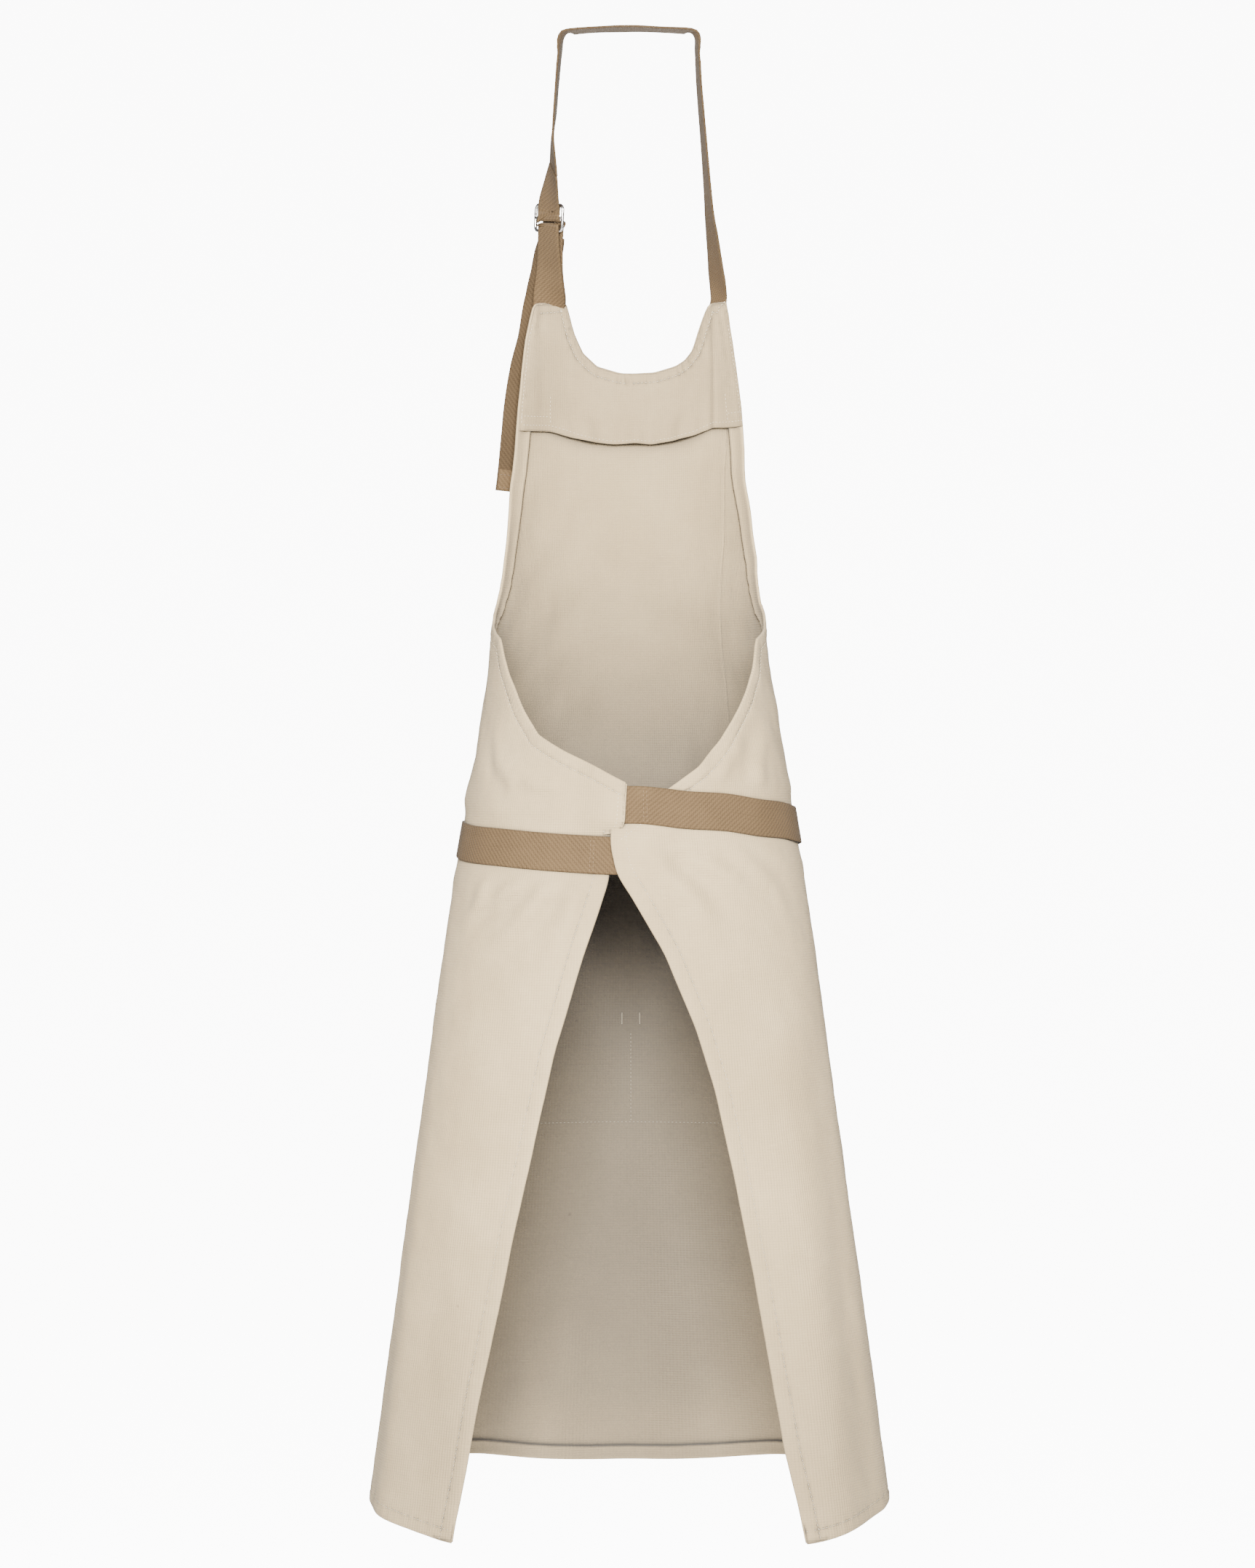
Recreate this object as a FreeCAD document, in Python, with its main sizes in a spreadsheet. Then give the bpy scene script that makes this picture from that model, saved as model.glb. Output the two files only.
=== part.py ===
import FreeCAD, Part
import Sketcher
import math
import os
from FreeCAD import Placement, Rotation, Vector

# Butcher apron in its worn shape. Millimetres, +Z up. The wearer's back faces -Y and the
# wearer's right hand is at +X. The origin is the middle of the neck strap's underside,
# where it rests behind the neck. "drop" is a distance below that point, and "angle" is
# measured round the body in degrees: 0 at the front centre and 180 at the back centre.

doc = FreeCAD.newDocument("ButcherApron")
sheet = doc.addObject("Spreadsheet::Sheet", "Sizes")

DRIVING_SIZES = {
    "cloth_thickness": 1.0,
    "layer_gap": 0.4,
    "hem_width": 12,
    "bottom_hem_width": 9,
    "webbing_width": 30,
    "webbing_thickness": 1.5,
    "bib_top_drop": 207,
    "bib_top_half": 118,
    "bib_top_front": 100,
    "bib_top_back": 90,
    "chest_drop": 320,
    "chest_half": 118,
    "chest_front": 106,
    "chest_back": 95,
    "underarm_drop": 477,
    "underarm_half": 110,
    "underarm_front": 104,
    "underarm_back": 98,
    "waist_drop": 640,
    "waist_half": 135,
    "waist_front": 100,
    "waist_back": 100,
    "hip_drop": 700,
    "hip_half": 146,
    "hip_front": 103,
    "hip_back": 103,
    "hem_drop": 1190,
    "hem_half": 213,
    "hem_front": 125,
    "hem_back": 118,
    "bib_bottom_drop": 455,
    "front_edge_angle": 76,
    "flap_hinge_angle": 100,
    "flap_top_drop": 690,
    "neckline_half": 56,
    "neckline_depth": 53,
    "facing_depth": 110,
    "buckle_width": 40,
    "buckle_height": 24,
    "buckle_corner_radius": 4,
    "wire_diameter": 2.6,
    "knot_width": 34,
    "knot_depth": 16,
    "knot_height": 32,
    "knot_fillet": 5,
    "tie_tail_length": 190,
    "bow_loop_length": 84,
    "bow_loop_depth": 13,
    "stitch_thickness": 0.8,
    "pocket_top_drop": 799,
    "pocket_bottom_drop": 895,
    "pocket_half_angle": 40,
}

for row, (alias, value) in enumerate(DRIVING_SIZES.items(), start=1):
    sheet.set("A%d" % row, alias)
    sheet.set("B%d" % row, str(value))
    sheet.setAlias("B%d" % row, alias)
doc.recompute()


def size(alias):
    return float(sheet.get(alias))


CLOTH = size("cloth_thickness")
GAP = size("layer_gap")
WEBBING = size("webbing_width")
WEBBING_THICKNESS = size("webbing_thickness")
HALF_CLOTH = CLOTH / 2
HEM_OUTSIDE = -HALF_CLOTH - GAP
HEM_INSIDE = HEM_OUTSIDE - CLOTH
STRAP_INSIDE = HALF_CLOTH + 2 * GAP
STRAP_OUTSIDE = STRAP_INSIDE + WEBBING_THICKNESS
LEFT, RIGHT = -1, 1
BODY_LEVELS = ["bib_top", "chest", "underarm", "waist", "hip", "hem"]


def interpolate(value, table):
    """Straight-line value from (key, result) rows, held level past both ends."""
    if value <= table[0][0]:
        return table[0][1]
    for (low, start), (high, end) in zip(table, table[1:]):
        if value <= high:
            return start + (end - start) * (value - low) / (high - low)
    return table[-1][1]


def smooth_interpolate(value, table, reach):
    """The same value with its corners rounded over a short reach."""
    parts = [interpolate(value + step * reach, table) for step in (-1, -0.5, 0, 0.5, 1)]
    return sum(parts) / len(parts)


def level_table(which):
    """(drop, size) rows down the body, with the skirt's straight slope carried past the hem."""
    rows = [(size(name + "_drop"), size(name + "_" + which)) for name in BODY_LEVELS]
    (upper, start), (lower, end) = rows[-2:]
    return rows + [(lower + 100, end + 100 * (end - start) / (lower - upper))]


LEVEL_TABLES = {which: level_table(which) for which in ("half", "front", "back")}


def level_size(drop, which):
    return smooth_interpolate(drop, LEVEL_TABLES[which], 30)


def wrap_point(angle, drop, offset=0):
    """Point of the cloth at an angle round the body, moved outward by an offset."""
    turn = math.radians(angle)
    half_width = level_size(drop, "half")
    half_depth = level_size(drop, "front" if math.cos(turn) >= 0 else "back")
    outward = Vector(math.sin(turn) / half_width, math.cos(turn) / half_depth, 0)
    outward.normalize()
    point = Vector(half_width * math.sin(turn), half_depth * math.cos(turn), -drop)
    return point + outward * offset


# The cloth's free edges, as (drop, angle) or (angle, drop) rows.
ARMHOLE_ANGLE = [(207, 43), (272, 48.5), (320, 52), (362, 55.5), (405, 61), (433, 67), (455, 76)]
WING_TOP = {
    LEFT: [(76, 455), (90, 475), (112, 489), (123, 518), (134, 546), (143.5, 567), (156, 581),
           (168, 593), (179, 606)],
    RIGHT: [(76, 455), (90, 475), (112, 489), (122, 518), (132, 543), (144, 572), (154.5, 593),
            (164.5, 608), (172, 619), (180, 630), (186, 645)],
}
WING_END = {
    LEFT: [(636, 178.4), (650, 173)],
    RIGHT: [(634, 179.6), (648, 185.2)],
}
FLAP_EDGE = [(690, 175), (742, 167), (817, 158.3), (885, 153.2), (966, 148.6), (1060, 144.6),
             (1140, 142), (1209, 138.7)]
HEM_DROP = [(0, 1176), (60, 1180), (90, 1187), (115, 1198), (130, 1205), (140, 1209)]


def sheet_solid(place, columns, rows, inside, outside):
    """Closed thin solid over place(u, v, offset), between two offsets from the cloth."""
    surfaces = []
    for offset in (inside, outside):
        grid = [[place(i / columns, j / rows, offset) for j in range(rows + 1)] for i in range(columns + 1)]
        surface = Part.BSplineSurface()
        surface.interpolate(grid)
        surfaces.append(surface)
    inner, outer = surfaces
    faces = [inner.toShape(), outer.toShape()]
    first_u, last_u, first_v, last_v = inner.bounds()
    outer_bounds = outer.bounds()
    for here, there in ((first_u, outer_bounds[0]), (last_u, outer_bounds[1])):
        faces.append(Part.makeRuledSurface(inner.uIso(here).toShape(), outer.uIso(there).toShape()))
    for here, there in ((first_v, outer_bounds[2]), (last_v, outer_bounds[3])):
        faces.append(Part.makeRuledSurface(inner.vIso(here).toShape(), outer.vIso(there).toShape()))
    shell = Part.makeShell(faces)
    shell.sewShape()
    solid = Part.makeSolid(shell)
    if solid.Volume < 0:
        solid.reverse()
    return solid


pieces = []


def add_piece(piece, label):
    piece.Label = label
    pieces.append(piece)
    return piece


def add_feature(label, shape):
    feature = doc.addObject("Part::Feature", label)
    feature.Shape = shape
    return add_piece(feature, label)


def mix(start, end, share):
    return start + (end - start) * share


# ---------------------------------------------------------------- cloth panels


def armhole_angle(drop):
    return smooth_interpolate(drop, ARMHOLE_ANGLE, 15)


def bib_place(top, bottom, margin=0):
    def place(u, v, offset):
        drop = mix(top, bottom, v)
        edge = armhole_angle(drop) - margin
        return wrap_point(mix(-edge, edge, u), drop, offset)
    return place


def neckline_cutter():
    """Upright U-shaped prism that cuts the neckline out of the bib and its facing."""
    half = size("neckline_half")
    top = -size("bib_top_drop")
    depth = size("neckline_depth")
    start = Vector(-half, 0, top + 20)
    end = Vector(half, 0, top + 20)
    curve = Part.BSplineCurve()
    curve.interpolate([Vector(-half, 0, top), Vector(-0.8 * half, 0, top - 0.6 * depth),
                       Vector(-0.4 * half, 0, top - 0.95 * depth), Vector(0, 0, top - depth),
                       Vector(0.4 * half, 0, top - 0.95 * depth), Vector(0.8 * half, 0, top - 0.6 * depth),
                       Vector(half, 0, top)])
    outline = Part.Wire([Part.makeLine(end, start), Part.makeLine(start, Vector(-half, 0, top)),
                         curve.toShape(), Part.makeLine(Vector(half, 0, top), end)])
    return Part.Face(outline).extrude(Vector(0, 200, 0))


def make_bib():
    whole = bib_place(size("bib_top_drop"), size("bib_bottom_drop"))
    bib = sheet_solid(whole, 20, 20, -HALF_CLOTH, HALF_CLOTH)
    add_feature("bib_panel", bib.cut(neckline_cutter()))
    facing_inside = 2 * HEM_INSIDE - GAP
    lining = bib_place(size("bib_top_drop"), size("bib_top_drop") + size("facing_depth"), margin=0.6)
    facing = sheet_solid(lining, 20, 10, facing_inside, facing_inside + CLOTH)
    add_feature("bib_facing", facing.cut(neckline_cutter()))


def make_skirt_front():
    edge = size("front_edge_angle") - 0.4
    top = size("bib_bottom_drop") + 1.5

    def place(u, v, offset):
        angle = mix(-edge, edge, u)
        return wrap_point(angle, mix(top, interpolate(abs(angle), HEM_DROP), v), offset)

    add_feature("skirt_front", sheet_solid(place, 16, 12, -HALF_CLOTH, HALF_CLOTH))


def make_side_panel(side, name):
    first = size("front_edge_angle") + 0.4
    last = size("flap_hinge_angle") - 0.5
    top = size("flap_top_drop") + 1

    def place(u, v, offset):
        angle = mix(first, last, u)
        return wrap_point(side * angle, mix(top, interpolate(angle, HEM_DROP), v), offset)

    add_feature("side_panel_" + name, sheet_solid(place, 4, 8, -HALF_CLOTH, HALF_CLOTH))


def make_back_wing(side, name):
    """Upper cloth from the side to the back centre, where it ends at the waist."""
    first = size("front_edge_angle") + 0.4
    bottom = size("flap_top_drop") - 1
    furthest = max(angle for drop, angle in WING_END[side])

    def place(u, v, offset):
        drop = mix(interpolate(mix(first, furthest, u), WING_TOP[side]), bottom, v)
        angle = mix(first, smooth_interpolate(drop, WING_END[side], 6), u)
        return wrap_point(side * angle, drop, offset)

    add_feature("back_wing_" + name, sheet_solid(place, 14, 8, -HALF_CLOTH, HALF_CLOTH))

    def hem(u, v, offset):
        angle = mix(90, 171, u)
        top = smooth_interpolate(angle, WING_TOP[side], 3) + 0.5
        return wrap_point(side * angle, mix(top, top + size("hem_width"), v), offset)

    add_feature("wing_hem_" + name, sheet_solid(hem, 14, 2, HEM_INSIDE, HEM_OUTSIDE))


def make_armhole_hem(side, name):
    top = size("bib_top_drop") + size("facing_depth") + 4
    strip = math.degrees(size("hem_width") / size("chest_half"))

    def place(u, v, offset):
        drop = mix(top, size("bib_bottom_drop"), v)
        edge = armhole_angle(drop) - 0.3
        return wrap_point(side * mix(edge - strip, edge, u), drop, offset)

    add_feature("armhole_hem_" + name, sheet_solid(place, 3, 12, HEM_INSIDE, HEM_OUTSIDE))


def flap_edge_angle(drop):
    return smooth_interpolate(drop, FLAP_EDGE, 10)


def make_back_flap(side, name):
    """Lower back cloth, which swings out on a straight line down the side."""
    first = size("flap_hinge_angle") + 0.5
    top = size("flap_top_drop") + 4

    def place(u, v, offset):
        drop = mix(top, interpolate(mix(first, 140, u), HEM_DROP), v)
        return wrap_point(side * mix(first, flap_edge_angle(drop), u), drop, offset)

    add_feature("back_flap_" + name, sheet_solid(place, 8, 12, -HALF_CLOTH, HALF_CLOTH))

    def edge_hem(u, v, offset):
        drop = mix(top + 6, interpolate(130, HEM_DROP) - size("bottom_hem_width") - 1, v)
        strip = math.degrees(size("hem_width") / level_size(drop, "half"))
        edge = flap_edge_angle(drop) - 0.2
        return wrap_point(side * mix(edge - strip, edge, u), drop, offset)

    add_feature("flap_edge_hem_" + name, sheet_solid(edge_hem, 2, 12, HEM_INSIDE, HEM_OUTSIDE))

    def bottom_hem(u, v, offset):
        angle = mix(first + 0.2, flap_edge_angle(1200) - 0.4, u)
        bottom = interpolate(angle, HEM_DROP) - 0.3
        return wrap_point(side * angle, mix(bottom - size("bottom_hem_width"), bottom, v), offset)

    add_feature("flap_bottom_hem_" + name, sheet_solid(bottom_hem, 6, 2, HEM_INSIDE, HEM_OUTSIDE))


def make_bottom_hem(label, first, last):
    def place(u, v, offset):
        angle = mix(first, last, u)
        bottom = interpolate(abs(angle), HEM_DROP) - 0.3
        return wrap_point(angle, mix(bottom - size("bottom_hem_width"), bottom, v), offset)

    add_feature(label, sheet_solid(place, 14, 2, HEM_INSIDE, HEM_OUTSIDE))


def make_front_pocket():
    """Wide shallow patch pocket, lying flat on the outside of the skirt's front."""
    edge = size("pocket_half_angle")

    def place(u, v, offset):
        drop = mix(size("pocket_top_drop"), size("pocket_bottom_drop"), v)
        return wrap_point(mix(-edge, edge, u), drop, offset)

    inside = HALF_CLOTH + 2 * GAP
    add_feature("front_pocket", sheet_solid(place, 12, 4, inside, inside + CLOTH))


# -------------------------------------------------------------- waist webbing

KNOT_DROP = 650
STRAP_HEIGHT = {
    LEFT: [(0, KNOT_DROP), (90, 650), (175, 662)],
    RIGHT: [(0, KNOT_DROP), (90, 639), (181, 622)],
}
STRAP_START = {LEFT: 174, RIGHT: 180.6}


def strap_centre(side, angle):
    return smooth_interpolate(angle, STRAP_HEIGHT[side], 15)


def make_waist_strap(side, name):
    """Webbing from the back centre, round the side, to the knot at the front."""
    knot_angle = math.degrees(math.asin((size("knot_width") / 2 + 1) / size("waist_half")))

    def place(u, v, offset):
        angle = mix(knot_angle, STRAP_START[side], u)
        centre = strap_centre(side, angle)
        return wrap_point(side * angle, mix(centre - WEBBING / 2, centre + WEBBING / 2, v), offset)

    add_feature("waist_strap_" + name, sheet_solid(place, 24, 2, STRAP_INSIDE, STRAP_OUTSIDE))


def make_strap_stitches(side, name):
    """The bar of thread that sews the webbing to the wing's end."""
    start = STRAP_START[side] - 0.8
    thread_inside = STRAP_OUTSIDE + 0.2

    def place(u, v, offset):
        angle = mix(start - 1.2, start, u)
        centre = strap_centre(side, angle)
        reach = WEBBING / 2 - 2
        return wrap_point(side * angle, mix(centre - reach, centre + reach, v), offset)

    thickness = size("stitch_thickness")
    add_feature("strap_bartack_" + name, sheet_solid(place, 1, 2, thread_inside, thread_inside + thickness))


def make_knot():
    body = doc.addObject("PartDesign::Body", "tie_knot")
    sketch = body.newObject("Sketcher::SketchObject", "KnotOutline")
    plane = [item for item in body.Origin.OriginFeatures if item.Role == "XZ_Plane"][0]
    sketch.AttachmentSupport = [(plane, "")]
    sketch.MapMode = "FlatFace"
    half_width = size("knot_width") / 2
    half_height = size("knot_height") / 2
    add_rectangle(sketch, half_width, half_height, "knot_width", "knot_height")
    pad = body.newObject("PartDesign::Pad", "KnotPad")
    pad.Profile = sketch
    pad.setExpression("Length", "Sizes.knot_depth")
    pad.Midplane = True
    doc.recompute()
    fillet = body.newObject("PartDesign::Fillet", "KnotRounding")
    fillet.Base = (pad, ["Edge%d" % (i + 1) for i in range(len(pad.Shape.Edges))])
    fillet.setExpression("Radius", "Sizes.knot_fillet")
    body.Placement = Placement(Vector(0, knot_depth_centre(), -KNOT_DROP), Rotation())
    add_piece(body, "tie_knot")


def knot_depth_centre():
    return size("waist_front") + 3.5 + size("knot_depth") / 2


def add_rectangle(sketch, half_width, half_height, width_alias, height_alias):
    """Rectangle about the sketch's origin, with its two sizes bound to the sheet."""
    corners = [Vector(-half_width, -half_height, 0), Vector(half_width, -half_height, 0),
               Vector(half_width, half_height, 0), Vector(-half_width, half_height, 0)]
    first = sketch.GeometryCount
    for index in range(4):
        sketch.addGeometry(Part.LineSegment(corners[index], corners[(index + 1) % 4]), False)
    for index in range(4):
        sketch.addConstraint(Sketcher.Constraint("Coincident", first + index, 2, first + (index + 1) % 4, 1))
    for index, direction in enumerate(["Horizontal", "Vertical", "Horizontal", "Vertical"]):
        sketch.addConstraint(Sketcher.Constraint(direction, first + index))
    sketch.addConstraint(Sketcher.Constraint("Symmetric", first, 1, first + 1, 2, -1, 1))
    width = sketch.addConstraint(Sketcher.Constraint("DistanceX", first, 1, first, 2, 2 * half_width))
    sketch.setExpression("Constraints[%d]" % width, "Sizes." + width_alias)
    height = sketch.addConstraint(Sketcher.Constraint("DistanceY", first + 1, 1, first + 1, 2, 2 * half_height))
    sketch.setExpression("Constraints[%d]" % height, "Sizes." + height_alias)


def make_bow_loop(side, name):
    """A loop of webbing beside the knot: a flat slot-shaped ring, drooping outward."""
    length = size("bow_loop_length")
    radius = size("bow_loop_depth") / 2
    rings = []
    for inset in (0, WEBBING_THICKNESS):
        reach = radius - inset
        line_ends = (radius, length - radius)
        near = Part.Arc(Vector(line_ends[0], reach, 0), Vector(line_ends[0] - reach, 0, 0),
                        Vector(line_ends[0], -reach, 0))
        far = Part.Arc(Vector(line_ends[1], -reach, 0), Vector(line_ends[1] + reach, 0, 0),
                       Vector(line_ends[1], reach, 0))
        sides = [Part.LineSegment(Vector(line_ends[0], -reach, 0), Vector(line_ends[1], -reach, 0)),
                 Part.LineSegment(Vector(line_ends[1], reach, 0), Vector(line_ends[0], reach, 0))]
        outline = Part.Wire([near.toShape(), sides[0].toShape(), far.toShape(), sides[1].toShape()])
        rings.append(Part.Face(outline).extrude(Vector(0, 0, WEBBING)))
    loop = add_feature("bow_loop_" + name, rings[0].cut(rings[1]))
    droop = Rotation(Vector(0, 1, 0), 14 if side == RIGHT else 166)
    start = Vector(side * (size("knot_width") / 2 + 4.5), knot_depth_centre() + 1.5, -KNOT_DROP)
    lift = droop.multVec(Vector(0, 0, -WEBBING / 2))
    loop.Placement = Placement(start + lift, droop)


def make_tie_tail(side, name):
    """Free end of the webbing, hanging below the knot."""
    tail = doc.addObject("Part::Box", "tie_tail_" + name)
    tail.setExpression("Length", "Sizes.webbing_width")
    tail.setExpression("Width", "Sizes.webbing_thickness")
    tail.setExpression("Height", "Sizes.tie_tail_length")
    splay = Rotation(Vector(0, 1, 0), side * -7)
    hinge = tie_tail_hinge(side)
    corner = Vector(-WEBBING / 2, -WEBBING_THICKNESS / 2, -2.5 - size("tie_tail_length"))
    tail.Placement = Placement(hinge + splay.multVec(corner), splay)
    add_piece(tail, "tie_tail_" + name)


def tie_tail_hinge(side):
    return Vector(side * 16.4, size("waist_front") + 15, -KNOT_DROP - size("knot_height") / 2 - 3)


# --------------------------------------------------------- neck strap and slider

# Centre line of the right-hand run of the neck strap, from the bib corner up to the neck.
NECK_RIGHT = [Vector(68, 80, -201.5), Vector(69, 72, -186), Vector(67.5, 57, -160), Vector(64.5, 34, -124),
              Vector(61, 8, -81), Vector(58.5, -16, -41), Vector(56.5, -32, -16)]
NECK_CORNER = [Vector(54.5, -38, -7), Vector(48, -43, -1.5), Vector(38, -45, 0.75), Vector(20, -45, 0.75)]
# The left-hand run starts above the slider buckle.
NECK_LEFT = [Vector(-64.5, 32.5, -122), Vector(-62.8, 20, -101), Vector(-61, 6, -79), Vector(-58.5, -16, -41),
             Vector(-56.5, -32, -16)]


def ribbon_direction(points, index):
    before = points[max(index - 1, 0)]
    after = points[min(index + 1, len(points) - 1)]
    along = after - before
    along.normalize()
    return along


def ribbon_solid(points, width_directions, thickness):
    """Flat band with its centre on the points and its width along the directions."""
    sections = []
    for index, point in enumerate(points):
        along = ribbon_direction(points, index)
        across = width_directions[index] - along * width_directions[index].dot(along)
        across.normalize()
        normal = along.cross(across) * (thickness / 2)
        reach = across * (WEBBING / 2)
        corners = [point - reach - normal, point + reach - normal, point + reach + normal,
                   point - reach + normal]
        sections.append(Part.makePolygon(corners + corners[:1]))
    return Part.makeLoft(sections, True, True)


def make_neck_strap():
    """Inverted U of webbing: flat behind the neck, turned edge-on at both sides."""
    mirrored = [Vector(-point.x, point.y, point.z) for point in NECK_CORNER]
    points = NECK_RIGHT + NECK_CORNER + [Vector(0, -45, 0.75)] + mirrored[::-1] + NECK_LEFT[::-1]
    sideways = Vector(0, 1, 0.35)
    directions = [sideways] * len(points)
    directions[0] = Vector(1, 0, 0)
    directions[1] = Vector(1, 0.35, 0.1)
    directions[2] = Vector(0.8, 0.8, 0.3)
    directions[3] = Vector(0.3, 1, 0.35)
    directions[-1] = Vector(-0.5, 1, 0.35)
    directions[-2] = Vector(-0.3, 1, 0.35)
    for index in range(len(NECK_RIGHT) + 1, len(points) - len(NECK_LEFT) - 1):
        directions[index] = Vector(0, 1, 0)
    add_feature("neck_strap", ribbon_solid(points, directions, WEBBING_THICKNESS))


BUCKLE_ACROSS = Vector(-0.62, 0.70, 0.36)
BUCKLE_UP = Vector(0.02, -0.53, 0.85)


def buckle_axes():
    """Directions across the webbing, up along it, and out of the buckle's face."""
    up = Vector(BUCKLE_UP)
    up.normalize()
    across = BUCKLE_ACROSS - up * BUCKLE_ACROSS.dot(up)
    across.normalize()
    return across, up, across.cross(up)


BUCKLE_HINGE = Vector(-65, 46.5, -150)


def buckle_point(across, up, out):
    directions = buckle_axes()
    return BUCKLE_HINGE + directions[0] * across + directions[1] * up + directions[2] * out


def buckle_rotation():
    across, up, out = buckle_axes()
    return Rotation(across, up, out, "ZXY")


def make_buckle():
    """Rectangular wire frame with a middle bar; its lower bar is held by the tab."""
    width = size("buckle_width") - size("wire_diameter")
    height = size("buckle_height") - size("wire_diameter")
    radius = size("buckle_corner_radius")
    wire = size("wire_diameter") / 2
    corners = [(-1, -1), (1, -1), (1, 1), (-1, 1)]
    edges = []
    for index, (right, top) in enumerate(corners):
        next_right, next_top = corners[(index + 1) % 4]
        centre = Vector(right * (width / 2 - radius), top * (height / 2 - radius), 0)
        start_angle = 180 + 90 * index
        arc = [centre + Vector(math.cos(math.radians(a)), math.sin(math.radians(a)), 0) * radius
               for a in (start_angle, start_angle + 45, start_angle + 90)]
        edges.append(Part.Arc(arc[0], arc[1], arc[2]).toShape())
        next_centre = Vector(next_right * (width / 2 - radius), next_top * (height / 2 - radius), 0)
        turn = math.radians(start_angle + 90)
        line_end = next_centre + Vector(math.cos(turn), math.sin(turn), 0) * radius
        edges.append(Part.LineSegment(arc[2], line_end).toShape())
    path = Part.Wire(edges)
    profile = Part.Wire([Part.Circle(edges[0].valueAt(0), edges[0].tangentAt(0), wire).toShape()])
    frame_shape = path.makePipeShell([profile], True, True)
    frame = add_feature("buckle_frame", frame_shape)
    frame.Placement = Placement(buckle_point(0, height / 2, 0), buckle_rotation())
    bar = doc.addObject("Part::Cylinder", "buckle_bar")
    bar.setExpression("Radius", "Sizes.wire_diameter / 2")
    bar.setExpression("Height", "Sizes.buckle_width - Sizes.wire_diameter")
    bar_half = (size("buckle_width") - size("wire_diameter")) / 2
    along_bar = Rotation(Vector(0, 0, 1), buckle_axes()[0])
    bar.Placement = Placement(buckle_point(-bar_half, height / 2, 0), along_bar)
    add_piece(bar, "buckle_bar")


def buckle_band(label, stations):
    """Webbing near the buckle, from (up, out) stations in the buckle's own directions."""
    points = [buckle_point(0, up, out) for up, out in stations]
    add_feature(label, ribbon_solid(points, [buckle_axes()[0]] * len(points), WEBBING_THICKNESS))


def arc_stations(centre_up, radius, first, last, steps):
    angles = [math.radians(mix(first, last, step / steps)) for step in range(steps + 1)]
    return [(centre_up + radius * math.cos(a), radius * math.sin(a)) for a in angles]


def make_buckle_webbing():
    """The strap's fold over the middle bar, and the doubled tab round the lower bar."""
    middle = (size("buckle_height") - size("wire_diameter")) / 2
    wrap_radius = size("wire_diameter") / 2 + 0.3 + WEBBING_THICKNESS / 2
    buckle_band("strap_fold", [(middle + 16, -2), (middle + 10.7, -wrap_radius - 0.4), (middle + 4, -wrap_radius)]
                + arc_stations(middle, wrap_radius, 270, 90, 6))
    tab_band()


def tab_band():
    """The tab comes up from the bib corner, round the lower bar, and back down again."""
    across_top, up_top, out_top = buckle_axes()
    corner = Vector(-68, 80, -201.5)
    turn_radius = size("wire_diameter") / 2 + 0.3 + WEBBING_THICKNESS / 2
    ring = [buckle_point(0, up, out) for up, out in arc_stations(0, turn_radius, -90, 90, 6)]
    layer = WEBBING_THICKNESS / 2 + 0.25
    out_low = Vector(0, 0.84, 0.55)
    points = [corner - out_low * layer]
    directions = [Vector(-1, 0, 0)]
    for share in (0.35, 0.7):
        base = corner + (BUCKLE_HINGE - corner) * share
        out = out_low * (1 - share) + out_top * share
        points.append(base - out * mix(layer, turn_radius, share))
        directions.append(Vector(-1, 0, 0) * (1 - share) + across_top * share)
    back = []
    back_directions = []
    for share in (0.7, 0.35, 0):
        base = corner + (BUCKLE_HINGE - corner) * share
        out = out_low * (1 - share) + out_top * share
        back.append(base + out * mix(layer, turn_radius, share))
        back_directions.append(Vector(-1, 0, 0) * (1 - share) + across_top * share)
    chain = points + ring + back
    chain_directions = directions + [across_top] * len(ring) + back_directions
    add_feature("buckle_tab", ribbon_solid(chain, chain_directions, WEBBING_THICKNESS))


def make_neck_anchor(side, name):
    """The sewn end of the webbing, between the bib corner and its facing."""
    outside = -HALF_CLOTH - 0.4
    inside = outside - WEBBING_THICKNESS

    def place(u, v, offset):
        angle = mix(28.5, 42, u)
        return wrap_point(side * angle, mix(size("bib_top_drop") + 1, 230, v), offset)

    add_feature("neck_anchor_" + name, sheet_solid(place, 3, 2, inside, outside))


TAIL_POINTS = [Vector(-63.5, 73, -171), Vector(-66, 80, -182), Vector(-69, 86, -195),
               Vector(-72, 89, -209), Vector(-78, 87.5, -232), Vector(-84, 84.5, -258),
               Vector(-88.5, 82.5, -287), Vector(-92.5, 81, -318), Vector(-95.5, 80, -348)]


def make_strap_tail():
    """Free end of the neck strap, hanging in front of the bib's left edge."""
    directions = [Vector(-1, 0, 0), Vector(-1, -0.05, 0), Vector(-1, -0.15, 0)]
    directions += [Vector(-0.93, -0.36, 0)] * (len(TAIL_POINTS) - 3)
    add_feature("strap_tail", ribbon_solid(TAIL_POINTS, directions, WEBBING_THICKNESS))
    end = [TAIL_POINTS[-1] + Vector(-0.15, -0.1, -1.6), TAIL_POINTS[-1] + Vector(-1.6, -0.9, -17)]
    add_feature("tail_end_fold", ribbon_solid(end, [directions[-1]] * 2, 2 * WEBBING_THICKNESS))


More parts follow.
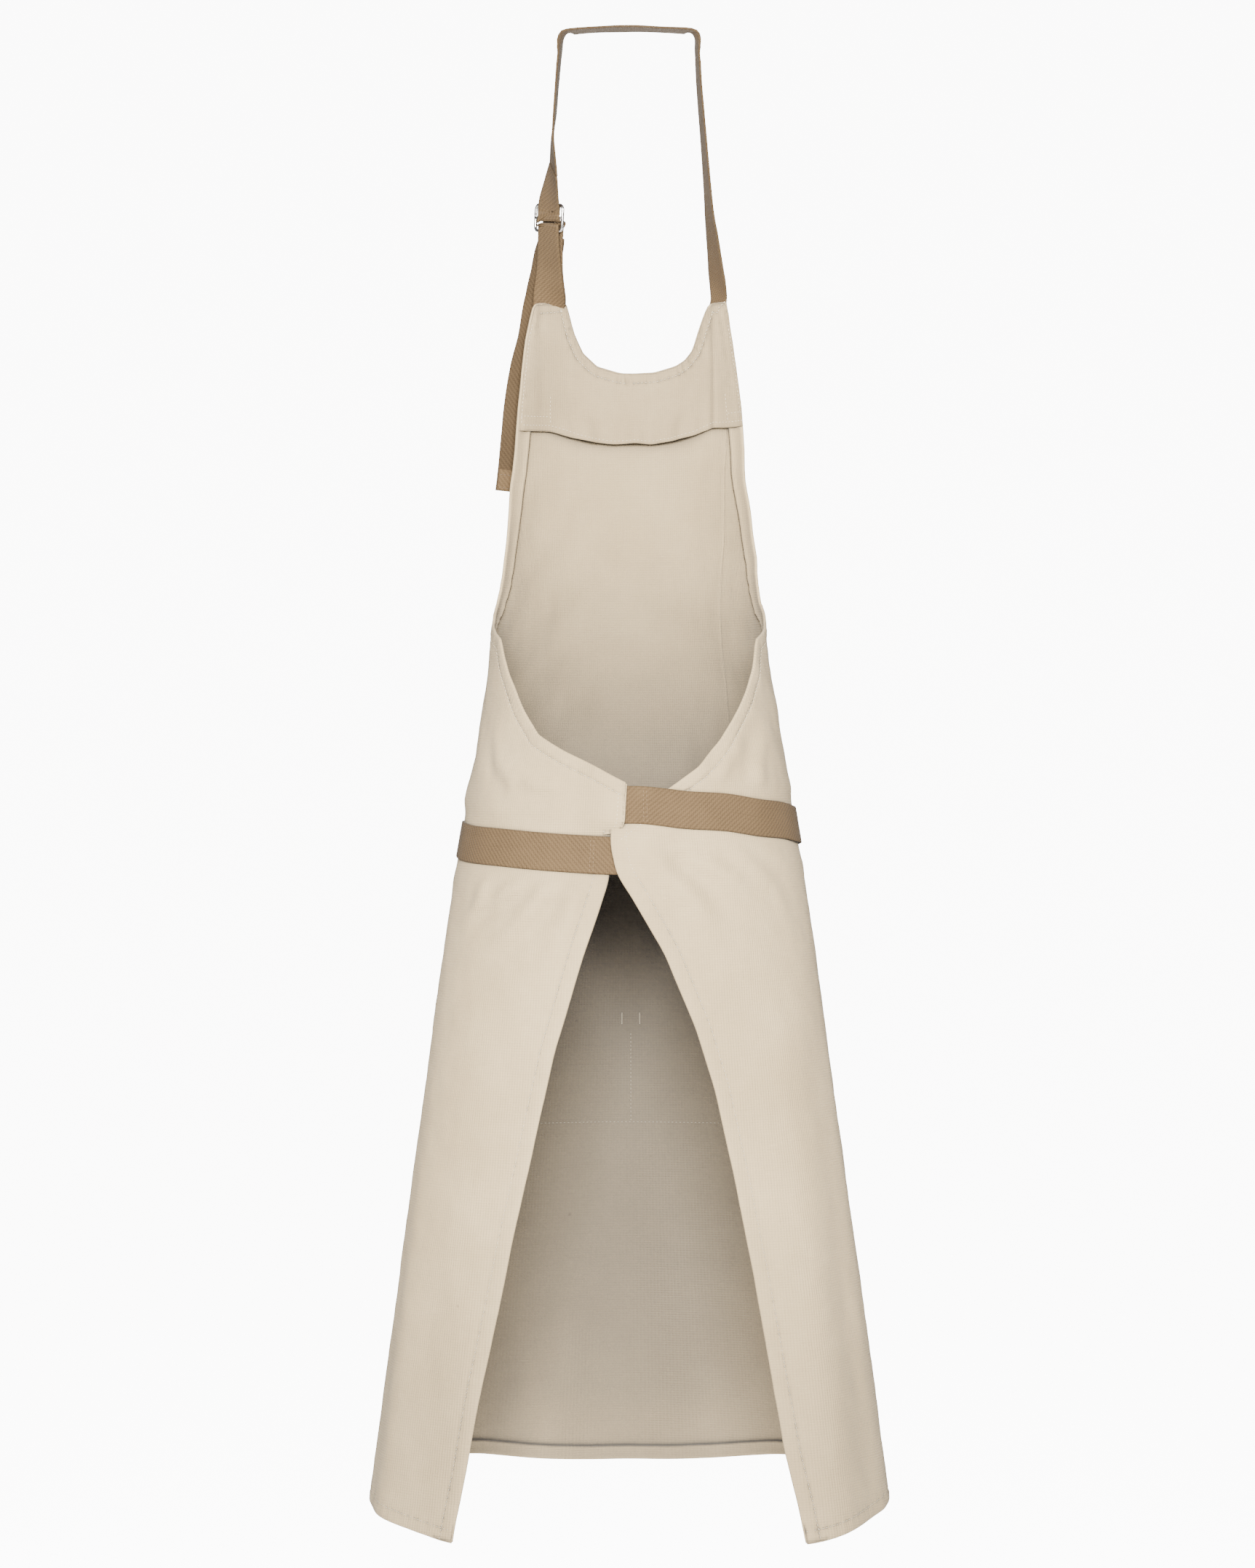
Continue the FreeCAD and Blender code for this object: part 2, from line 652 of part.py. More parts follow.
make_bib()
make_skirt_front()
make_front_pocket()
for side, name in ((LEFT, "left"), (RIGHT, "right")):
    make_side_panel(side, name)
    make_back_wing(side, name)
    make_back_flap(side, name)
    make_armhole_hem(side, name)
    side_angles = sorted([side * (size("front_edge_angle") + 0.6), side * (size("flap_hinge_angle") - 0.7)])
    make_bottom_hem("bottom_hem_" + name, side_angles[0], side_angles[1])
    make_waist_strap(side, name)
    make_strap_stitches(side, name)
    make_bow_loop(side, name)
    make_tie_tail(side, name)
    make_neck_anchor(side, name)
make_bottom_hem("bottom_hem_front", 0.6 - size("front_edge_angle"), size("front_edge_angle") - 0.6)
make_knot()
make_neck_strap()
make_buckle()
make_buckle_webbing()
make_strap_tail()
doc.recompute()

for item in doc.Objects:
    if "Invalid" in item.State or "Error" in item.State:
        raise RuntimeError(item.Name + " did not compute")
for piece in pieces:
    shape = piece.Shape
    if shape.isNull() or not shape.isValid() or shape.Volume <= 0:
        raise RuntimeError(piece.Label + " is not a valid solid")

os.makedirs("parts", exist_ok=True)
for piece in pieces:
    piece.Shape.exportStep("parts/" + piece.Label + ".step")
    print(piece.Label, round(piece.Shape.Volume), "mm3", len(piece.Shape.Solids), "solid")
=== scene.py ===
import math
import bmesh
import bpy
import numpy as np
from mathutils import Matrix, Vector
from mathutils.kdtree import KDTree


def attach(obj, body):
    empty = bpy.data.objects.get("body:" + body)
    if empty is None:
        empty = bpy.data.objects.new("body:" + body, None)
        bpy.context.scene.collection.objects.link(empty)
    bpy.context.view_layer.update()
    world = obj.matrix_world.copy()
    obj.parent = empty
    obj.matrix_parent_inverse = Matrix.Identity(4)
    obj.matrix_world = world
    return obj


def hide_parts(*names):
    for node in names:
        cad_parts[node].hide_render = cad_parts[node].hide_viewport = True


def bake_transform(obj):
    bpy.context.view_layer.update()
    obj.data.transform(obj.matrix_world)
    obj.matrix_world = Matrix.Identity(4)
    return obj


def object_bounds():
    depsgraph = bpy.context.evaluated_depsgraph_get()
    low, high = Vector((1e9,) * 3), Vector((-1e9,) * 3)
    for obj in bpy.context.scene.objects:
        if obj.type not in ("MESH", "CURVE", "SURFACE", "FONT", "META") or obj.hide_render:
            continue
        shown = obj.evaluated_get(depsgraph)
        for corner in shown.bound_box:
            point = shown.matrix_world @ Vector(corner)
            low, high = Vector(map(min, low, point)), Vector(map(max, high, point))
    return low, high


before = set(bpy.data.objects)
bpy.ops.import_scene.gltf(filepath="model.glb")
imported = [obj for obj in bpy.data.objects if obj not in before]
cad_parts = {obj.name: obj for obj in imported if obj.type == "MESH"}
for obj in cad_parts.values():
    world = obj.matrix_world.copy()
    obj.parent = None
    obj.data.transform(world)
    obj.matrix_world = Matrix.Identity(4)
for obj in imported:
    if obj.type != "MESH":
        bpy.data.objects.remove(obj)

cad_low, cad_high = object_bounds()

# A canvas butcher apron in its worn shape, seen from the wearer's back. All sizes below are in
# millimetres and are turned into metres where a mesh is made. "drop" is the distance below the
# neck strap's rest, which is the frame's origin, and "angle" is measured round the body in
# degrees: 0 at the front centre, 180 at the back centre, and positive towards +X.

MM = 0.001
LEFT, RIGHT = -1, 1
SIDES = ((LEFT, "left"), (RIGHT, "right"))

# ------------------------------------------------------------------ sizes

CANVAS_THICKNESS = 0.85
LINING_THICKNESS = 0.8       # of the facing and the pocket
LAYER_STEP = 1.7            # from one layer's middle to the next in a turned hem
WEBBING_WIDTH = 30
WEBBING_THICKNESS = 1.6
WING_HEM = 9
FLAP_HEM = 11
BOTTOM_HEM = 9
ARMHOLE_HEM = 12
NECKLINE_HEM = 7.5
WING_END_HEM = 5
STITCH_LENGTH = 2.3
STITCH_STEP = 3.3
STITCH_RADIUS = 0.36
STITCH_HEIGHT = STITCH_RADIUS * 0.6     # of a thread's centre above the cloth it lies on
STITCH_SUNK = 0.3                       # how far the stitching pulls into the cloth
FLAP_HINGE_ANGLE = 100
LEVEL_DROPS = [207, 320, 477, 640, 700, 1190, 1290]
LEVEL_SIZES = {
    "half": [118, 118, 110, 135, 146, 213, 226.7],
    "front": [100, 106, 104, 100, 103, 125, 129.5],
    "back": [90, 95, 98, 100, 103, 118, 121.1],
}

# Free edges of the cloth: (angle, drop) points for the upper edge and the hem, (drop, angle) for the back.
NECKLINE = {
    LEFT: [(0, 260.3), (3, 260.2), (5.4, 259.3), (13.8, 254.5), (20, 243.4), (23.8, 228), (26.1, 212.8),
           (27.2, 203.5), (28.6, 201.5), (41.5, 204.5)],
    RIGHT: [(0, 260.3), (3, 260.2), (10.5, 259.4), (19.7, 254.4), (23.8, 249.6), (27.5, 241.2), (30.8, 223.4),
            (34.2, 206), (35.8, 203.7), (44.2, 203)],
}
ARMHOLE = [(43, 207), (46.5, 233), (49.8, 265.5), (53, 311), (55.3, 345), (60.2, 378), (64.5, 408),
           (69.5, 433), (76, 457)]
WING_TOP = {
    LEFT: [(90, 475), (112, 489), (123, 518), (134, 546), (143.5, 567), (156, 581), (168, 593), (179, 606)],
    RIGHT: [(90, 475), (111, 489), (122, 518), (132, 543), (144, 572), (154.5, 593), (164.5, 608),
            (174, 622), (187, 646)],
}
WING_END = {
    LEFT: [(600, 178.8), (637, 178.0), (644, 176.5), (650, 173.2), (680, 173.2)],
    RIGHT: [(600, 186), (647, 186.2), (678, 183.4), (686, 180.9)],
}
FLAP_EDGE = {
    LEFT: [(654, 173.2), (680, 173.2), (742, 165.5), (817, 158.2), (885, 153.8), (966, 148.9), (1060, 144.6),
           (1109, 142.3), (1150, 141), (1190, 139), (1212, 138.3)],
    RIGHT: [(654, 185.6), (678, 183.4), (690, 180), (740, 168.9), (799, 160.2), (849, 155.3), (917, 151),
            (991, 147.2), (1078, 144), (1135, 142.4), (1184, 140), (1212, 139)],
}
HEM_DROP = [(0, 1178.5), (8, 1178.5), (22, 1175), (39, 1168.5), (58, 1171), (80, 1181), (100, 1190),
            (112, 1196), (126, 1203), (139, 1209.5), (190, 1215)]
STRAP_HEIGHT = {
    LEFT: [(0, 650), (90, 650), (175, 663)],
    RIGHT: [(0, 650), (90, 640), (181, 621.5)],
}


def table(value, rows, reach=0.0):
    """Straight-line value from (key, result) rows, with its corners rounded over a reach."""
    keys = [row[0] for row in rows]
    results = [row[1] for row in rows]
    steps = (-1, -0.5, 0, 0.5, 1) if reach else (0,)
    return sum(np.interp(value + step * reach, keys, results) for step in steps) / len(steps)


def ease(value, start, end):
    """0 before start, 1 after end, smooth between."""
    share = np.clip((value - start) / (end - start), 0, 1)
    return share * share * (3 - 2 * share)


def bell(value, width):
    """1 at zero, falling smoothly to about a third at the width on either side."""
    return np.exp(-(value / width) ** 2)


def unit(vectors):
    """The same directions with length 1."""
    return vectors / np.linalg.norm(vectors, axis=-1, keepdims=True)


def lengths_along(points):
    """Distance from a line's start to each of its points."""
    steps = np.linalg.norm(np.diff(points, axis=0), axis=-1)
    return np.concatenate([[0], np.cumsum(steps)])


def ripples(x, y, length, seed, count=9):
    """Smooth noise between about -1 and 1, from waves of about one length in all directions."""
    chance = np.random.default_rng(seed)
    total = 0
    for _ in range(count):
        turn = chance.uniform(0, 2 * math.pi)
        pitch = 2 * math.pi / (length * chance.uniform(0.75, 1.4))
        phase = chance.uniform(0, 2 * math.pi)
        total = total + np.sin(pitch * (x * math.cos(turn) + y * math.sin(turn)) + phase)
    return total / math.sqrt(2.0 * count)


# ------------------------------------------------------------------ the cloth's shape


def base_surface(angle, drop):
    """Point on the smooth wrapped shape and its outward direction."""
    turn = np.radians(angle)
    sizes = {}
    for which, values in LEVEL_SIZES.items():
        sizes[which] = table(drop, list(zip(LEVEL_DROPS, values)), 30)
    depth = np.where(np.cos(turn) >= 0, sizes["front"], sizes["back"])
    point = np.stack([sizes["half"] * np.sin(turn), depth * np.cos(turn), -drop + 0 * turn], axis=-1)
    outward = np.stack([np.sin(turn) / sizes["half"], np.cos(turn) / depth, 0 * point[..., 0]], axis=-1)
    return point, unit(outward)


def strap_centre(side, angle):
    """Drop of the waist strap's centre line."""
    return table(np.abs(angle), STRAP_HEIGHT[side], 15)


def strap_distance(angle, drop):
    """How far below its side's waist strap a point is; negative above it."""
    left = drop - strap_centre(LEFT, angle)
    right = drop - strap_centre(RIGHT, angle)
    return np.where(angle < 0, left, right)


CREASE_SCALE = 2.35         # millimetres to a degree, near enough for drawing creases
CREASE_HEIGHT = 1.35        # all crease heights below are multiplied by this
# Creases as (start angle, start drop, end angle, end drop, half width, height).
CREASES = [
    (-152, 690, -128, 742, 7, 2.6),
    (-143, 684, -118, 702, 5, 2.2),
    (-163, 690, -149, 760, 8, 2.4),
    (-128, 684, -112, 722, 7, 1.8),
    (-134, 600, -118, 560, 8, 1.6),
    (-152, 606, -134, 590, 6, 1.4),
    (158, 668, 136, 700, 7, 2.2),
    (170, 672, 150, 742, 8, 2.6),
    (165, 656, 148, 662, 4, 2.0),
    (140, 668, 118, 716, 8, 1.8),
    (146, 600, 128, 572, 8, 1.8),
    (128, 606, 112, 560, 9, 1.6),
    (-24, 668, -34, 760, 9, 2.6),
    (-8, 672, -12, 790, 10, 2.4),
    (10, 672, 16, 800, 10, 2.6),
    (30, 668, 44, 750, 9, 2.4),
    (-50, 668, -64, 770, 11, 2.2),
    (56, 668, 70, 780, 11, 2.4),
    (-18, 630, -30, 560, 10, 2.0),
    (14, 630, 24, 550, 10, 2.2),
    (44, 630, 52, 560, 11, 1.8),
    (-46, 632, -56, 568, 11, 1.8),
]


def creases(angle, drop):
    """Height of the drag lines, each with a shallow furrow beside it."""
    total = 0
    for start_angle, start_drop, end_angle, end_drop, width, height in CREASES:
        along = np.array([(end_angle - start_angle) * CREASE_SCALE, end_drop - start_drop], float)
        length = np.linalg.norm(along)
        along /= length
        x = (angle - start_angle) * CREASE_SCALE
        y = drop - start_drop
        travel = (x * along[0] + y * along[1]) / length
        away = -x * along[1] + y * along[0]
        bow = 6 * np.sin(np.clip(travel, 0, 1) * math.pi)
        fade = np.clip(travel * 5 + 1, 0, 1) * (1 - ease(travel, 0.25, 1.05))
        ridge = bell(away - bow, width) - 0.55 * bell(away - bow - 1.9 * width, width)
        total = total + CREASE_HEIGHT * height * fade * ridge
    return total


def relief(angle, drop):
    """How far the cloth stands off the smooth shape, in millimetres."""
    low = ease(drop, 690, 1150)
    skirt = 2.6 * np.sin(np.radians(angle) * 6.2 + 0.7) + 1.9 * np.sin(np.radians(angle) * 10.7 + 2.1)
    skirt = skirt + 1.5 * ripples(angle * 2.6, drop * 0.35, 95, 3)
    side_hold = 1 - bell(np.abs(angle) - FLAP_HINGE_ANGLE, 9) * ease(drop, 640, 690)
    below = strap_distance(angle, drop)
    cinch = ease(np.abs(below), 15, 34)
    pinch = 1.7 * bell(below - 31, 11) + 1.3 * bell(below + 31, 11)
    mid = ease(drop, 300, 420) * (1 - ease(drop, 640, 700))
    waves = 1.3 * ripples(angle * 2.2, drop, 120, 5) + 0.7 * ripples(angle * 2.2, drop, 48, 6)
    fine = 0.16 * ripples(angle * 2.2, drop, 17, 7) + 0.05 * ripples(angle * 2.2, drop, 7, 8)
    bib = (1 - ease(drop, 300, 460)) * 0.9 * ripples(angle * 2.0, drop, 70, 9)
    total = low * skirt + (0.45 + 0.4 * mid) * waves + pinch + creases(angle, drop) + bib
    return total * cinch * side_hold + fine * (0.4 + 0.6 * cinch)


def wing_lift(side, angle, drop):
    """The wing ends overlap: the left one lies on top above, the right one on top below."""
    reach = np.abs(angle)
    if side == LEFT:
        return 5.2 * ease(reach, 160, 173) * (1 - ease(drop, 634, 652))
    return 5.4 * ease(reach, 163, 176) * ease(drop, 630, 650) * (1 - 0.55 * ease(drop, 680, 760))


def cloth_surface(angle, drop, offset=0.0):
    """Point of the draped cloth, in millimetres, moved outward by an offset."""
    point, outward = base_surface(angle, drop)
    lift = np.where(np.sign(angle) == LEFT, wing_lift(LEFT, angle, drop), wing_lift(RIGHT, angle, drop))
    high = relief(angle, drop) + lift + offset
    return point + outward * high[..., None]


def cloth_normal(angle, drop):
    """Outward direction of the draped cloth, with its folds."""
    step = 0.25
    across = cloth_surface(angle + step, drop) - cloth_surface(angle - step, drop)
    down = cloth_surface(angle, drop + step) - cloth_surface(angle, drop - step)
    normal = unit(np.cross(down, across))
    outward = base_surface(angle, drop)[1]
    return normal * np.sign(np.sum(normal * outward, axis=-1, keepdims=True))


def millimetres_per_degree(angle, drop):
    """How far one degree round the body is at a point."""
    step = 0.5
    ahead = base_surface(angle + step, drop)[0]
    behind = base_surface(angle - step, drop)[0]
    return np.linalg.norm(ahead - behind, axis=-1)


# ------------------------------------------------------------------ mesh helpers


def new_object(name, vertices, faces, material, uvs=None, smooth=True):
    mesh = bpy.data.meshes.new(name)
    mesh.from_pydata([tuple(vertex) for vertex in np.asarray(vertices) * MM], [], faces)
    if uvs is not None:
        layer = mesh.uv_layers.new(name="cloth")
        corner_vertices = np.empty(len(mesh.loops), dtype=np.int32)
        mesh.loops.foreach_get("vertex_index", corner_vertices)
        layer.data.foreach_set("uv", np.asarray(uvs, dtype=np.float32)[corner_vertices].ravel())
    mesh.polygons.foreach_set("use_smooth", [smooth] * len(mesh.polygons))
    mesh.materials.append(material)
    mesh.update()
    thing = bpy.data.objects.new(name, mesh)
    bpy.context.scene.collection.objects.link(thing)
    return thing


def grid_faces(columns, rows, keep=None):
    faces = []
    for i in range(columns - 1):
        for j in range(rows - 1):
            if keep is None or keep(i, j):
                a = i * rows + j
                faces.append((a, a + rows, a + rows + 1, a + 1))
    return faces


def swept_faces(rings, size, first=0, closed=False):
    """Faces of a shape swept through rings of points, with end caps unless it is closed."""
    faces = []
    for ring in range(rings if closed else rings - 1):
        here = first + ring * size
        following = first + (ring + 1) % rings * size
        for index in range(size):
            step = (index + 1) % size
            faces.append((here + index, here + step, following + step, following + index))
    if not closed:
        last = first + (rings - 1) * size
        faces.append(tuple(reversed(range(first, first + size))))
        faces.append(tuple(range(last, last + size)))
    return faces


def numbered_tree(points):
    """Finds the nearest of some points, and its number."""
    tree = KDTree(len(points))
    for index, place in enumerate(points):
        tree.insert(place, index)
    tree.balance()
    return tree


def apply_modifiers(thing):
    bpy.context.view_layer.update()
    graph = bpy.context.evaluated_depsgraph_get()
    mesh = bpy.data.meshes.new_from_object(thing.evaluated_get(graph))
    thing.modifiers.clear()
    thing.data = mesh
    return thing


def clean(thing, distance=0.02):
    """Drops points that no face uses and joins points that lie together."""
    work = bmesh.new()
    work.from_mesh(thing.data)
    loose = [vertex for vertex in work.verts if not vertex.link_faces]
    bmesh.ops.delete(work, geom=loose, context="VERTS")
    bmesh.ops.remove_doubles(work, verts=work.verts, dist=distance * MM)
    bmesh.ops.recalc_face_normals(work, faces=work.faces)
    work.to_mesh(thing.data)
    work.free()


def thicken(thing, thickness):
    """Makes a sheet into a solid cloth, the same amount on both sides."""
    solid = thing.modifiers.new("thickness", "SOLIDIFY")
    solid.thickness = thickness * MM
    solid.offset = 0
    return apply_modifiers(thing)


class Patch:
    """Cloth mesh being built up from grids of (angle, drop) samples."""

    def __init__(self):
        self.vertices = []
        self.faces = []
        self.uvs = []

    def add_grid(self, points, angle, drop, keep=None):
        """points has shape (columns, rows, 3); angle and drop give the weave's own place."""
        first = sum(len(block) for block in self.vertices)
        columns, rows = points.shape[:2]
        self.vertices.append(points.reshape(-1, 3))
        self.uvs.append(np.stack([angle * 2.3 * MM, -drop * MM], axis=-1).reshape(-1, 2))
        for face in grid_faces(columns, rows, keep):
            self.faces.append(tuple(first + index for index in face))

    def build(self, name, material, thickness=CANVAS_THICKNESS):
        vertices = np.concatenate(self.vertices)
        uvs = np.concatenate(self.uvs)
        thing = new_object(name, vertices, self.faces, material, uvs)
        clean(thing)
        return thicken(thing, thickness)


# ------------------------------------------------------------------ hems and stitches


def inward_directions(angle, drop, inside):
    """Unit steps from an edge into the cloth, as millimetres (round the body, down), and the scale."""
    scale = millimetres_per_degree(angle, drop)
    x = np.gradient(angle) * scale
    y = np.gradient(drop)
    length = np.maximum(np.hypot(x, y), 1e-9)
    normal = np.stack([-y / length, x / length], axis=-1)
    for _ in range(3):
        padded = np.concatenate([normal[:1], normal, normal[-1:]])
        normal = unit((padded[:-2] + 2 * padded[1:-1] + padded[2:]) / 4)
    return normal * inside, scale


def step_in(angle, drop, normal, scale, distance):
    """Angles and drops a distance inside an edge."""
    return angle + normal[:, 0] * distance / scale, drop + normal[:, 1] * distance


def pucker(distance, along, hem, seed):
    """Small quilting of a stitched hem: pillowed band, pulled-in seam, little gathers."""
    band = np.clip(distance / hem, 0, 1)
    pillow = 0.28 * np.sin(band * math.pi)
    seam = -0.62 * bell(distance - hem, 1.4)
    gather = 0.30 * np.sin(2 * math.pi * along / 8.7 + 2.2 * ripples(along, 0 * along, 60, seed))
    gather = gather + 0.18 * ripples(along, distance, 13, seed + 1)
    return pillow + seam + gather * bell(distance - 0.8 * hem, 0.6 * hem)


def add_hem(patch, angle, drop, inside, hem, seed):
    """Turns the edge under: round the fold, then back inside to just past the stitching."""
    normal, scale = inward_directions(angle, drop, inside)
    edge = cloth_surface(angle, drop)
    along = lengths_along(edge)
    face = cloth_normal(angle, drop)
    tangent = unit(cloth_surface(*step_in(angle, drop, normal, scale, 1.0)) - edge)
    columns = []
    angles = []
    drops = []
    radius = LAYER_STEP / 2
    lift = pucker(np.zeros_like(along), along, hem, seed)[:, None]
    for degrees in (0, 45, 90, 135, 180):
        turn = math.radians(degrees)
        folded = edge - tangent * radius * math.sin(turn) - face * radius * (1 - math.cos(turn))
        columns.append(folded + face * lift)
        angles.append(angle)
        drops.append(drop)
    for share in (0.2, 0.4, 0.6, 0.8, 0.95, 1.0, 1.17):
        distance = share * hem
        here = step_in(angle, drop, normal, scale, distance)
        high = pucker(distance + 0 * along, along, hem, seed) - LAYER_STEP
        columns.append(cloth_surface(*here) + cloth_normal(*here) * high[:, None])
        angles.append(here[0])
        drops.append(here[1])
    patch.add_grid(*(np.stack(rows, axis=1) for rows in (columns, angles, drops)))


def hem_line(angle, drop, inside, distance):
    """A line a fixed distance inside an edge."""
    normal, scale = inward_directions(angle, drop, inside)
    return step_in(angle, drop, normal, scale, distance)


def along_line(points, directions, step):
    """Points, directions and headings at equal steps along a line."""
    lengths = lengths_along(points)
    places = np.arange(step / 2, lengths[-1], step)

    def sample(values, shift=0.0):
        columns = [np.interp(places + shift, lengths, values[:, axis]) for axis in range(3)]
        return np.stack(columns, axis=-1)

    heading = sample(points, 0.5) - sample(points, -0.5)
    heading /= np.maximum(np.linalg.norm(heading, axis=-1, keepdims=True), 1e-9)
    return sample(points), unit(sample(directions)), heading


# A thread's rings, as (place along it, share of its radius).
STITCH_RINGS = [(-0.5, 0.35), (-0.25, 0.95), (0.25, 0.95), (0.5, 0.35)]
STITCH_SIDES = 5


class Stitches:
    """Many separate short threads gathered into one mesh."""

    def __init__(self):
        self.vertices = []
        self.faces = []

    def add_line(self, points, directions, height=0.0, step=STITCH_STEP, length=STITCH_LENGTH,
                 radius=STITCH_RADIUS):
        places, facing, heading = along_line(points, directions, step)
        for place, out, ahead in zip(places, facing, heading):
            self.add_stitch(place + out * height, out, ahead, length, radius)

    def add_stitch(self, place, out, ahead, length, radius):
        side = np.cross(ahead, out)
        first = len(self.vertices)
        for reach, share in STITCH_RINGS:
            dip = -radius * 1.6 * (2 * reach) ** 4
            centre = place + ahead * length * reach + out * dip
            for index in range(STITCH_SIDES):
                turn = 2 * math.pi * index / STITCH_SIDES
                away = side * math.cos(turn) + out * math.sin(turn)
                self.vertices.append(centre + away * radius * share)
        self.faces += swept_faces(len(STITCH_RINGS), STITCH_SIDES, first)

    def build(self, name, material):
        return new_object(name, self.vertices, self.faces, material)


def stitch_hem(stitches, angle, drop, inside, hem):
    """Stitch lines along a hem, on the outside of the cloth and on the turned edge inside."""
    line = hem_line(angle, drop, inside, hem)
    points = cloth_surface(*line)
    normal = cloth_normal(*line)
    depth = CANVAS_THICKNESS / 2 + LAYER_STEP - STITCH_SUNK
    stitches.add_line(points + normal * (CANVAS_THICKNESS / 2 - STITCH_SUNK), normal, STITCH_HEIGHT)
    stitches.add_line(points - normal * depth, -normal, STITCH_HEIGHT)


# ------------------------------------------------------------------ materials


class Graph:
    """A material's node tree, with a short call for each kind of node used here."""

    def __init__(self, name):
        self.material = bpy.data.materials.new(name)
        self.material.use_nodes = True
        self.tree = self.material.node_tree
        self.shader = self.tree.nodes["Principled BSDF"]

    def node(self, kind, **values):
        """Adds a node. Each value belongs to an input of that name or to the node itself."""
        node = self.tree.nodes.new(kind)
        for key, value in values.items():
            if key in node.inputs:
                node.inputs[key].default_value = value
            else:
                setattr(node, key, value)
        return node

    def connect(self, source, socket):
        """Gives a socket a number, a colour or another node's output."""
        if isinstance(source, (int, float, tuple)):
            socket.default_value = source
        else:
            self.tree.links.new(source, socket)

    def surface(self, values):
        """Fills the named inputs of the material's shader."""
        for key, value in values.items():
            self.connect(value, self.shader.inputs[key])
        return self.material

    def place(self):
        """The point's place in the shared frame, in metres."""
        return self.node("ShaderNodeTexCoord").outputs["Object"]

    def weave_place(self):
        """The point's place on the flat cloth or webbing, in metres."""
        return self.node("ShaderNodeUVMap", uv_map="cloth").outputs["UV"]

    def axis(self, source, name):
        node = self.node("ShaderNodeSeparateXYZ")
        self.connect(source, node.inputs["Vector"])
        return node.outputs[name]

    def scaled(self, source, factors):
        node = self.node("ShaderNodeMapping", Scale=factors)
        self.connect(source, node.inputs["Vector"])
        return node.outputs["Vector"]

    def noise(self, vector, scale, detail=3.0, roughness=0.5):
        node = self.node("ShaderNodeTexNoise", Scale=scale, Detail=detail, Roughness=roughness)
        self.connect(vector, node.inputs["Vector"])
        return node.outputs["Fac"]

    def wave(self, vector, direction, scale, distortion, detail_scale=1.0):
        node = self.node("ShaderNodeTexWave", Scale=scale, Distortion=distortion, Detail=1.5)
        node.bands_direction = direction
        node.inputs["Detail Scale"].default_value = detail_scale
        self.connect(vector, node.inputs["Vector"])
        return node.outputs["Fac"]

    def remap(self, source, low, high, start=0.0, end=1.0):
        node = self.node("ShaderNodeMapRange")
        for key, value in (("From Min", low), ("From Max", high), ("To Min", start), ("To Max", end)):
            node.inputs[key].default_value = value
        self.connect(source, node.inputs["Value"])
        return node.outputs["Result"]

    def calculate(self, operation, *values):
        node = self.node("ShaderNodeMath", operation=operation)
        for value, socket in zip(values, node.inputs):
            self.connect(value, socket)
        return node.outputs["Value"]

    def plus(self, first, second):
        return self.calculate("ADD", first, second)

    def times(self, first, second):
        return self.calculate("MULTIPLY", first, second)

    def mix(self, share, first, second):
        """The first colour where the share is 0 and the second where it is 1."""
        node = self.node("ShaderNodeMix", data_type="RGBA")
        factor, colour_a, colour_b = (node.inputs[index] for index in (0, 6, 7))
        for value, socket in ((share, factor), (first, colour_a), (second, colour_b)):
            self.connect(value, socket)
        return node.outputs[2]

    def bump(self, height, strength, distance, normal=None):
        node = self.node("ShaderNodeBump", Strength=strength, Distance=distance)
        self.connect(height, node.inputs["Height"])
        if normal is not None:
            self.connect(normal, node.inputs["Normal"])
        return node.outputs["Normal"]

    def enclosed(self):
        """1 deep inside the wrapped cloth, where almost no light gets in, and 0 in the open."""
        node = self.node("ShaderNodeAmbientOcclusion", samples=6, Distance=ENCLOSED_REACH)
        height = self.axis(self.place(), "Z")
        skirt = self.remap(height, *SKIRT_HEIGHTS, SKIRT_SHADE, 0.0)
        hem = self.remap(height, *HEM_HEIGHTS, HEM_SHADE, 0.0)
        open_share = self.calculate("SUBTRACT", node.outputs["AO"], self.plus(skirt, hem))
        return self.remap(open_share, *OPEN_SHARES, 1.0, 0.0)


NEUTRAL = (0.50, 0.46, 0.41)        # tint of cloth that little light reaches
DEEP_SHADE = 0.14                   # how much of that tint's lightness is left where it is fully enclosed
THREAD_SHADE = 0.8                  # thread stands proud of the cloth, so it stays a little lighter
ENCLOSED_REACH = 0.30               # how far round a point the cloth that closes it in may be
OPEN_SHARES = (0.31, 0.86)          # of a point's view that is open, where shade is full and where it ends
SKIRT_SHADE = 0.09                  # the skirt is closed at the waist, so less light comes in from above
SKIRT_HEIGHTS = (-0.72, -0.62)      # heights where that shade is full and where it ends
HEM_SHADE = 0.18                    # further shade between the flaps, down to the hem
HEM_HEIGHTS = (-1.12, -0.86)
FLECK = (0.16, 0.11, 0.07, 1)       # scraps of cotton seed in the canvas


def tinted(colour, factor=1.0):
    """A lighter or darker colour, with full cover."""
    return tuple(min(1.0, part * factor) for part in colour) + (1,)


